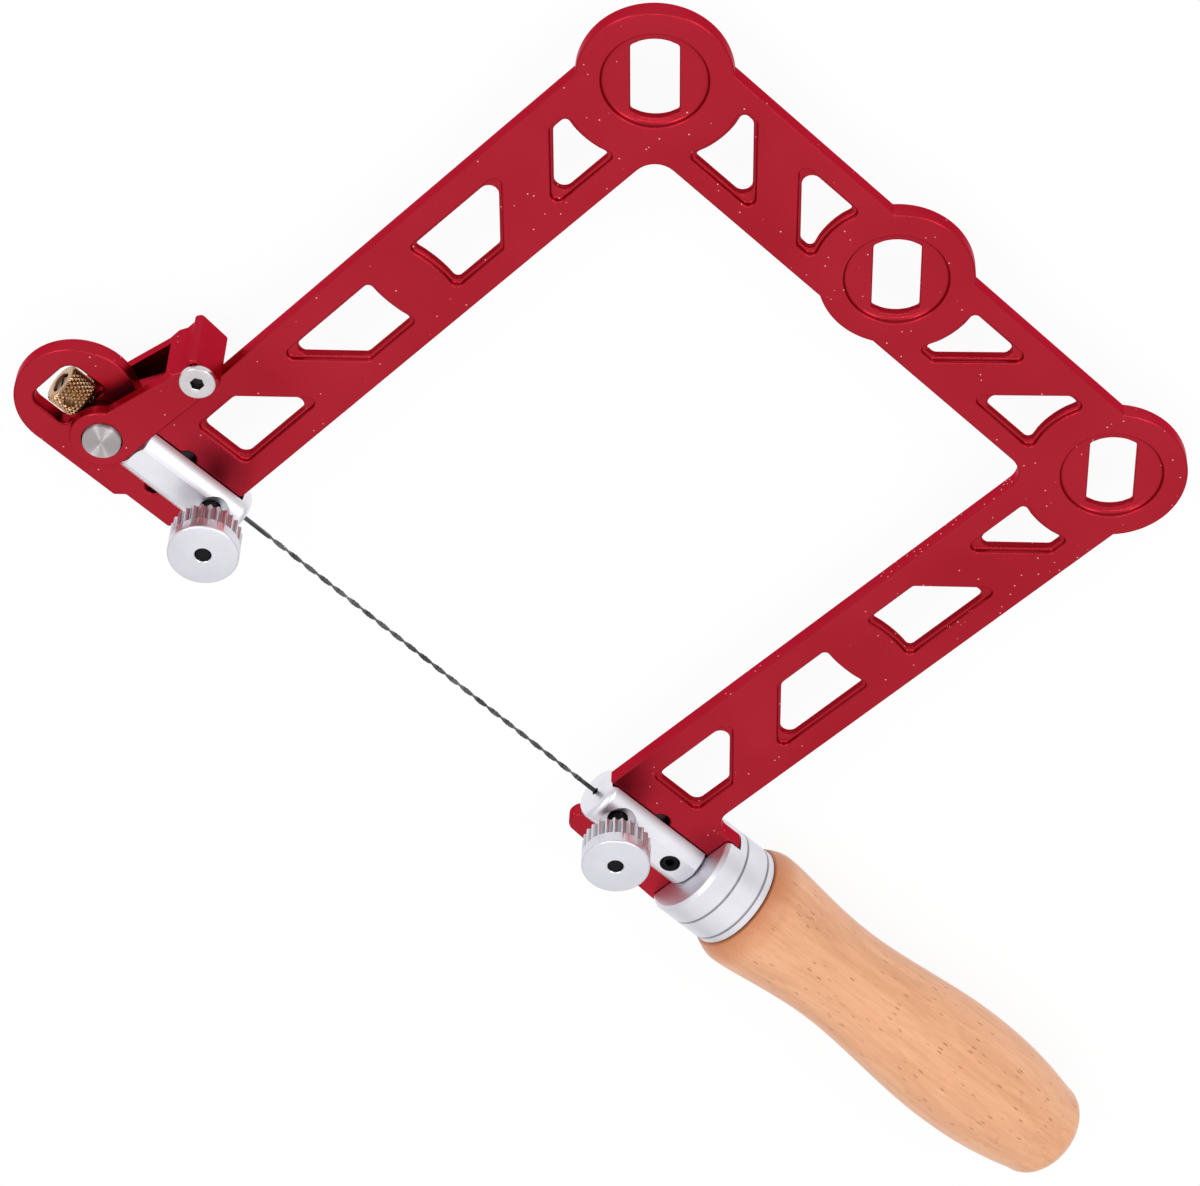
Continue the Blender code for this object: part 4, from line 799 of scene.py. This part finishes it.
NUT_R, NUT_BACK, NUT_FRONT, NUT_BORE = 4.4, -99.45, -93.45, 2.3
KNURLS, KNURL_DEPTH, KNURL_ROWS, TOMMY_R = 26, 0.42, 36, 1.2
LEVER_R, LEVER_TOP, LEVER_HALF, LEVER_EDGE = 6.8, 29.2, 8.0, 0.5
CHEEK_Z, CHANNEL_TOP = 5.2, 20.6
HUB_REACH, HUB_RISE, LEVER_TURN, HUB_R = 6.15, 0.8, 65, 5.6
HUB_NEAR, HUB_FAR, PIN_TAIL_BORE = 2.3, 6.2, 3.5
CROSS_X, CROSS_Y = 3.4, 26.0


def draw_rod():
    """The threaded rod between the upper clamp and the nut, with a slotted end."""
    profile = [(ROD_FRONT, 0), (ROD_FRONT, SCREW_R)]
    x, low = -80.0, SCREW_R - 0.25
    while x > ROD_END + 1.0:
        profile += [(x, SCREW_R), (x - 0.3, low), (x - 0.38, low), (x - 0.68, SCREW_R)]
        x -= 0.7
    profile += [(ROD_END + 0.35, SCREW_R), (ROD_END, SCREW_R - 0.35), (ROD_END, 0)]
    slot = box((ROD_END - 1, -0.35, -3), (ROD_END + 0.8, 0.35, 3))
    return carve(lathe(profile, 40, along_x=True), [(slot, CUT)])


def knurled_nut():
    """A brass nut with a diamond knurl and a cross hole."""
    bm = bmesh.new()
    groove = bm.verts.layers.float.new("groove")
    rows = []
    steps = KNURLS * 8

    def ring(radius, x, depth=0.0):
        verts = []
        for i in range(steps):
            u = KNURLS * i / steps
            v = (x - NUT_BACK) * 0.75
            a = abs((u + v) % 1.0 - 0.5) * 2
            b = abs((u - v) % 1.0 - 0.5) * 2
            deep = max(a, b) ** 1.8 if depth else 0.0
            t = 2 * math.pi * i / steps
            q = radius - depth * deep
            verts.append(bm.verts.new((x, q * math.cos(t), q * math.sin(t))))
            # The groove layer holds the knurl depth, which the material turns into painted shade
            verts[-1][groove] = max(0.0, deep * 1.6 - 0.6)
        rows.append(verts)

    ring(NUT_BORE, NUT_BACK + 0.2)
    ring(NUT_BORE + 0.2, NUT_BACK)
    ring(NUT_R - 0.55, NUT_BACK)
    for k in range(KNURL_ROWS + 1):
        ring(NUT_R, NUT_BACK + 0.35 + (NUT_FRONT - NUT_BACK - 0.7) * k / KNURL_ROWS, KNURL_DEPTH)
    ring(NUT_R - 0.55, NUT_FRONT)
    ring(NUT_BORE + 0.2, NUT_FRONT)
    ring(NUT_BORE, NUT_FRONT - 0.2)
    bridge(bm, rows + rows[:1])
    bmesh.ops.recalc_face_normals(bm, faces=bm.faces)
    mid = (NUT_BACK + NUT_FRONT) / 2
    bm = carve(bm, [(rod_z(TOMMY_R, mid, 0.0, z0, z1, 24), CUT) for z0, z1 in ((-8, -2.6), (2.6, 8))])
    # Walls of the cross hole get the second material, dark steel, as painted shade
    for face in bm.faces:
        p = face.calc_center_median()
        hole = math.hypot(p.x - mid, p.y) < TOMMY_R + 0.01
        if hole and abs(p.z) > 2.5 and abs(face.normal.z) < 0.5:
            face.material_index = 1
    return bm


def lever_outline():
    """A cheek of the lever from the side: round end at the pin, straight arm and thumb block."""
    r, top, turn = LEVER_R, LEVER_TOP, 124
    a = math.radians(turn)
    pts = rounded([(r * math.cos(a), r * math.sin(a)), (-1.0, 20.0, 0.8), (-1.0, top - 6.4, 0.8),
                   (-0.2, top - 4.6, 0.8), (-0.2, top - 2.6, 0.8), (-1.0, top - 1.3, 0.7), (-0.3, top, 1.0),
                   (7.6, top - 0.7, 0.8), (7.4, top - 6.5, 1.0), (r, 6.0), (r, 0)], 6)[:-1]
    return pts + arc(0, 0, r, 0, turn - 360, 48)[:-1]


def cam_outline():
    """A hub whose reach falls by HUB_RISE while the lever turns through LEVER_TURN."""
    rate = HUB_RISE / math.radians(LEVER_TURN)
    pts = []
    start, end = math.pi - math.radians(73), math.pi + math.radians(12)
    for i in range(25):
        a = start + (end - start) * i / 24
        reach = HUB_REACH - rate * (math.pi - a)
        pts.append((reach * math.cos(a) - rate * math.sin(a), reach * math.sin(a) + rate * math.cos(a)))
    return pts + arc(0, 0, HUB_R, 225, 440, 36)


def soft_prism(loop, half, r):
    """An outline pulled from -half to half in Z with its two edges rounded by r."""
    rows = rim(loop, -1, half, r, 4)
    rows += [(pts, -z) for pts, z in reversed(rows)]
    bm = bmesh.new()
    rings = [[bm.verts.new((x, y, z)) for x, y in pts] for pts, z in rows]
    bridge(bm, rings)
    bm.faces.new(rings[0])
    bm.faces.new(rings[-1])
    bmesh.ops.recalc_face_normals(bm, faces=bm.faces)
    return bm


def lever():
    """Two cheeks joined by the thumb block, with a cam hub inside each. The second material paints shade
    inside.
    """
    tools = [(box((-20, -20, -CHEEK_Z), (20, CHANNEL_TOP, CHEEK_Z)), CUT)]
    for z0, z1 in ((HUB_NEAR, HUB_FAR), (-HUB_FAR, -HUB_NEAR)):
        tools.append((prism(cam_outline(), z0, z1), JOIN))
    tools.append((rod_z(PIN_BORE_R, 0, 0, -5.3, 9, 64), CUT))
    tools.append((rod_z(PIN_TAIL_BORE, 0, 0, -9, 0, 64), CUT))
    tools.append((rod_z(CLEAR_R, CROSS_X, CROSS_Y, -4.3, 9), CUT))
    bm = carve(soft_prism(lever_outline(), LEVER_HALF, LEVER_EDGE), tools)
    # Faces inside the channel get the near-black red: painted shade
    second_material(bm, lambda p: abs(p.z) < CHEEK_Z + 0.05 and p.y < CHANNEL_TOP + 0.1)
    return moved(bm, PIN_X)


def pin():
    """The pivot pin: wide front, thin rear with a clip groove, and a cross hole for the draw rod."""
    top, step, groove, end = 8.8, -5.0, -8.6, -10.0
    wide, thin, neck = 4.0, 3.2, 2.6
    profile = soft([(top, 0), (top, wide), (step, wide), (step, thin), (groove + 0.6, thin),
                    (groove + 0.6, neck), (groove - 0.6, neck), (groove - 0.6, thin), (end, thin), (end, 0)],
                   0.25, 4)
    return moved(carve(lathe(profile, 96), [(rod_x(CLEAR_R, -8, 8), CUT)]), PIN_X)


def clip():
    """A spring clip open on one side, with three inward teeth."""
    mouth, outer_r, inner_r, tooth_r, tooth_half = 24, 4.6, 3.35, 2.9, 16
    outer = arc(0, 0, outer_r, mouth, 360 - mouth, 48)
    inner = []
    for i in range(49):
        a = 360 - mouth - (360 - 2 * mouth) * i / 48
        r = tooth_r if min(abs(a - 90), abs(a - 180), abs(a - 270)) < tooth_half else inner_r
        inner.append((r * math.cos(math.radians(a)), r * math.sin(math.radians(a))))
    return moved(carve(prism(outer + inner, -8.9, -8.3), [], 0.1, 2), PIN_X)


def cross_screw():
    """A screw with a low round head. Its hex socket gets the second material, painted shade."""
    top, seat, foot, head_r, flats = 9.8, 8.3, -4.0, 3.75, 2.6
    profile = soft([(top, 0), (top, head_r), (seat, head_r), (seat, SCREW_R), (foot, SCREW_R), (foot, 0)],
                   0.35, 5)
    bm = carve(lathe(profile, 72), [(prism(hexagon(0, 0, flats, 30), 7.6, 11), CUT)], 0.08, 2, 40)
    second_material(bm, lambda p: 7.5 < p.z < 9.7 and p.xy.length < 1.7)
    return moved(bm, PIN_X + CROSS_X, CROSS_Y)


piece("dressed_draw_rod", draw_rod(), "draw_rod", "carriage", ROD_STEEL_AND_HOLE_SHADE)
piece("dressed_tension_nut", knurled_nut(), "tension_nut", "tension_nut_body", [BRASS, ROD_STEEL_AND_HOLE_SHADE], 28)
arm = piece("dressed_tension_lever", lever(), "tension_lever", "lever", [RED, RED_PAINTED_SHADE_INSIDE])
flat_normals(arm)
pivot = piece("dressed_lever_pivot_pin", pin(), "lever_pivot_pin", "frame", STEEL)
flat_normals(pivot)
piece("dressed_pin_retaining_clip", clip(), "pin_retaining_clip", "frame", SCREW_STEEL)
head = piece("dressed_lever_cross_screw", cross_screw(), "lever_cross_screw", "lever",
             [SCREW_STEEL, SOCKET_PAINTED_SHADE])
flat_normals(head)


# Blade

def blade():
    """A thin strip, flat in the clamps and twisted between them, with small nicks along its edges."""
    held, per_turn = 12.0, 8.6
    half, shoulder, thick, thin = 0.55, 0.42, 0.21, 0.07
    x0, x1 = UPPER_FRONT - held, LOWER_FRONT + held
    start, end = UPPER_FRONT + 8.0, LOWER_FRONT - 4.5
    turns = round((end - start) / per_turn)
    bm = bmesh.new()
    rings = []
    count = turns * 48
    stations = [(x0, 0.0, 1.0), (UPPER_FRONT, 0.0, 1.0)]
    for i in range(count + 1):
        nick = 0.84 if i % 5 in (2, 3) else 1.0
        t = i / count
        eased = t - 0.004 * math.sin(2 * math.pi * t)
        stations.append((start + (end - start) * t, 2 * math.pi * turns * eased, nick))
    stations += [(LOWER_FRONT, 2 * math.pi * turns, 1.0), (x1, 2 * math.pi * turns, 1.0)]
    for x, a, nick in stations:
        mid = 1.0 - 1.3 * (x - UPPER_FRONT) / (LOWER_FRONT - UPPER_FRONT)
        ring = []
        wide = half * nick
        for u, v in ((wide, thin), (shoulder, thick), (-shoulder, thick), (-wide, thin),
                     (-wide, -thin), (-shoulder, -thick), (shoulder, -thick), (wide, -thin)):
            y = u * math.cos(a) - v * math.sin(a)
            z = u * math.sin(a) + v * math.cos(a)
            ring.append(bm.verts.new((x, mid + y, z)))
        rings.append(ring)
    bridge(bm, rings)
    bm.faces.new(rings[0])
    bm.faces.new(rings[-1])
    return bm


piece("dressed_saw_blade", blade(), "saw_blade", "frame", BLADE, 30)


# Ferrule and handle

FERRULE_R, FERRULE_REAR, FERRULE_LINES = 12.25, 98.6, (96.5, 90.2)
LOCK_SCREW_X, TANG_BORE = 86.4, 2.8
GRIP_FRONT, GRIP_LENGTH, GRIP_BORE, GRIP_BORE_END = 98.9, 107.2, 4.8, 128.9
SHOULDER, WAIST, SWELL, BUTT = 0.044, 0.304, 0.674, 0.93
FRONT_R, SHOULDER_R, WAIST_R, SWELL_R, BUTT_R, BUTT_ROUND = 12.8, 14.25, 12.05, 14.65, 11.7, 0.07
RING_X, RING_HALF, RING_DEPTH = 104.2, 0.7, 0.10


def ferrule():
    """A ring with two fine lines, a chamfered front and a slot for the plate's tab."""
    r = FERRULE_R
    profile = [(FERRULE_REAR, TANG_BORE), (FERRULE_REAR, r - 0.25), (FERRULE_REAR - 0.25, r)]
    for x in FERRULE_LINES:
        profile += [(x + 0.32, r), (x + 0.12, r - 0.4), (x - 0.12, r - 0.4), (x - 0.32, r)]
    profile += [(FERRULE_FRONT + 0.9, r), (FERRULE_FRONT + 0.25, r - 0.5), (FERRULE_FRONT, r - 0.8),
                (FERRULE_FRONT, TANG_BORE)]
    tools = [(box((83, -26, -2.3), (87.9, 26, 2.3)), CUT), (rod_z(1.8, LOCK_SCREW_X, 0, -26, 0), CUT)]
    # The faces of the two line grooves get the second material: painted shade
    return second_material(carve(lathe(profile, 128, along_x=True), tools), lambda p: (
        88 < p.x < 98.3 and 11.6 < math.hypot(p.y, p.z) < 12.2))


def handle():
    """A turned grip: shoulder at the ferrule, waist, swell and butt, placed by shares of its length."""
    marks = [(SHOULDER, SHOULDER_R), (WAIST, WAIST_R), (SWELL, SWELL_R), (BUTT, BUTT_R)]

    def radius(s):
        if s <= SHOULDER:
            return FRONT_R + (SHOULDER_R - FRONT_R) * math.sin(s / SHOULDER * math.pi / 2)
        if s >= BUTT:
            return BUTT_R * math.sqrt(max(0.0, 1 - ((s - BUTT) / BUTT_ROUND) ** 2.2))
        for (s0, r0), (s1, r1) in zip(marks, marks[1:]):
            if s <= s1:
                t = (s - s0) / (s1 - s0)
                if s1 == BUTT:
                    return r0 + (r1 - r0) * t ** 2.2
                t = t ** 0.8 if s1 == WAIST else t
                return r0 + (r1 - r0) * t * t * (3 - 2 * t)
        return 0.0

    shares = [SHOULDER * i / 10 for i in range(10)]
    shares += [SHOULDER + (BUTT - SHOULDER) * i / 90 for i in range(90)]
    shares += [BUTT + BUTT_ROUND * math.sin(math.pi / 2 * i / 24) for i in range(24)]
    profile = [(GRIP_FRONT + GRIP_LENGTH, 0.0)]
    for s in reversed(shares):
        x = GRIP_FRONT + GRIP_LENGTH * s
        line = RING_DEPTH * max(0.0, 1 - abs(x - RING_X) / RING_HALF)
        profile.append((x, radius(s) - line))
    profile += [(GRIP_FRONT, 12.4), (GRIP_FRONT, GRIP_BORE), (GRIP_BORE_END, GRIP_BORE),
                (GRIP_BORE_END, 0.0)]
    return lathe(profile, 128, along_x=True)


collar = piece("dressed_ferrule", ferrule(), "ferrule", "frame", [SATIN, SATIN_PAINTED_GROOVE_SHADE])
flat_normals(collar)
piece("dressed_handle_grip", handle(), "handle_grip", "frame", WOOD, 40)
piece("dressed_ferrule_lock_screw", threaded(1.5, -11.3, -2.3, LOCK_SCREW_X, 1.5, False),
      "ferrule_lock_screw", "frame", BLACK)
# These two are hidden inside the handle, so their solids are shown as they are
for name, mat in (("handle_tang", SCREW_STEEL), ("handle_insert", BRASS)):
    for part_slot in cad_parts[name].material_slots:
        part_slot.material = mat


# Floor, light and camera

def floor_material():
    """White sweep: bright for the camera and in reflections, and it still takes a soft shadow."""
    mat = bpy.data.materials.new("white_sweep")
    mat.use_nodes = True
    nodes = mat.node_tree.nodes
    nodes.clear()
    out = nodes.new("ShaderNodeOutputMaterial")
    paint = node(mat, "BsdfDiffuse", Roughness=0.5)
    paint.inputs["Color"].default_value = (0.95, 0.95, 0.95, 1.0)
    glow = node(mat, "Emission", Strength=1.0)
    mix = nodes.new("ShaderNodeMixShader")
    path = nodes.new("ShaderNodeLightPath")
    seen = combine(mat, 'MAXIMUM', path.outputs["Is Camera Ray"], path.outputs["Is Glossy Ray"])
    seen = combine(mat, 'MAXIMUM', seen, path.outputs["Is Transmission Ray"])
    wire(mat, spread(mat, seen, 0.0, 0.93), mix.inputs[0])
    wire(mat, paint.outputs[0], mix.inputs[1])
    wire(mat, glow.outputs[0], mix.inputs[2])
    wire(mat, mix.outputs[0], out.inputs["Surface"])
    return mat


bm = bmesh.new()
bmesh.ops.create_grid(bm, x_segments=2, y_segments=2, size=4.0)
floor_mesh = bpy.data.meshes.new("floor")
bm.to_mesh(floor_mesh)
bm.free()
floor = bpy.data.objects.new("floor", floor_mesh)
floor.data.materials.append(floor_material())
SCENE.collection.objects.link(floor)

world = bpy.data.worlds.new("studio")
SCENE.world = world
world.use_nodes = True
sky = world.node_tree.nodes["Background"]
# A plain dome, a little darker towards the horizon
way_up = node(world, "TexCoord")
height = node(world, "SeparateXYZ")
wire(world, way_up.outputs["Generated"], height.inputs[0])
dome = ramp(world, height.outputs["Z"],
            [(0.0, (0.45, 0.45, 0.45)), (0.3, (0.78, 0.78, 0.78)), (0.62, (1.0, 1.0, 1.0))])
wire(world, dome, sky.inputs["Color"])
sky.inputs["Strength"].default_value = 0.94


def lamp(name, place, size, power):
    """A round lamp that points at the origin."""
    data = bpy.data.lights.new(name, 'AREA')
    data.shape = 'DISK'
    data.size = size
    data.energy = power
    obj = bpy.data.objects.new(name, data)
    obj.location = place
    obj.rotation_euler = (-Vector(place)).to_track_quat('-Z', 'Y').to_euler()
    SCENE.collection.objects.link(obj)


lamp("left", (-0.864, 0.076, 0.677), 0.4, 2.0)
lamp("right", (0.015, 0.867, 0.677), 0.4, 2.0)
lamp("overhead", (0.06, -0.06, 1.25), 0.25, 1.0)

CAMERA_PLACE, LENS = (-0.43745, 0.41478, 0.75923), 135.66
CAMERA_RIGHT, CAMERA_BACK = (0.7117, 0.7017, -0.0333), (-0.4226, 0.4655, 0.7776)
cam_data = bpy.data.cameras.new("photo_camera")
cam_data.sensor_fit = 'HORIZONTAL'
cam_data.sensor_width = 36.0
cam_data.lens = LENS
cam_data.clip_end = 20.0
camera = bpy.data.objects.new("photo_camera", cam_data)
right = Vector(CAMERA_RIGHT).normalized()
back = Vector(CAMERA_BACK).normalized()
up = back.cross(right).normalized()
right = up.cross(back)
turned = Matrix((right, up, back)).transposed().to_4x4()
camera.matrix_world = Matrix.Translation(CAMERA_PLACE) @ turned
SCENE.collection.objects.link(camera)
SCENE.camera = camera

SCENE.view_settings.view_transform = 'Standard'
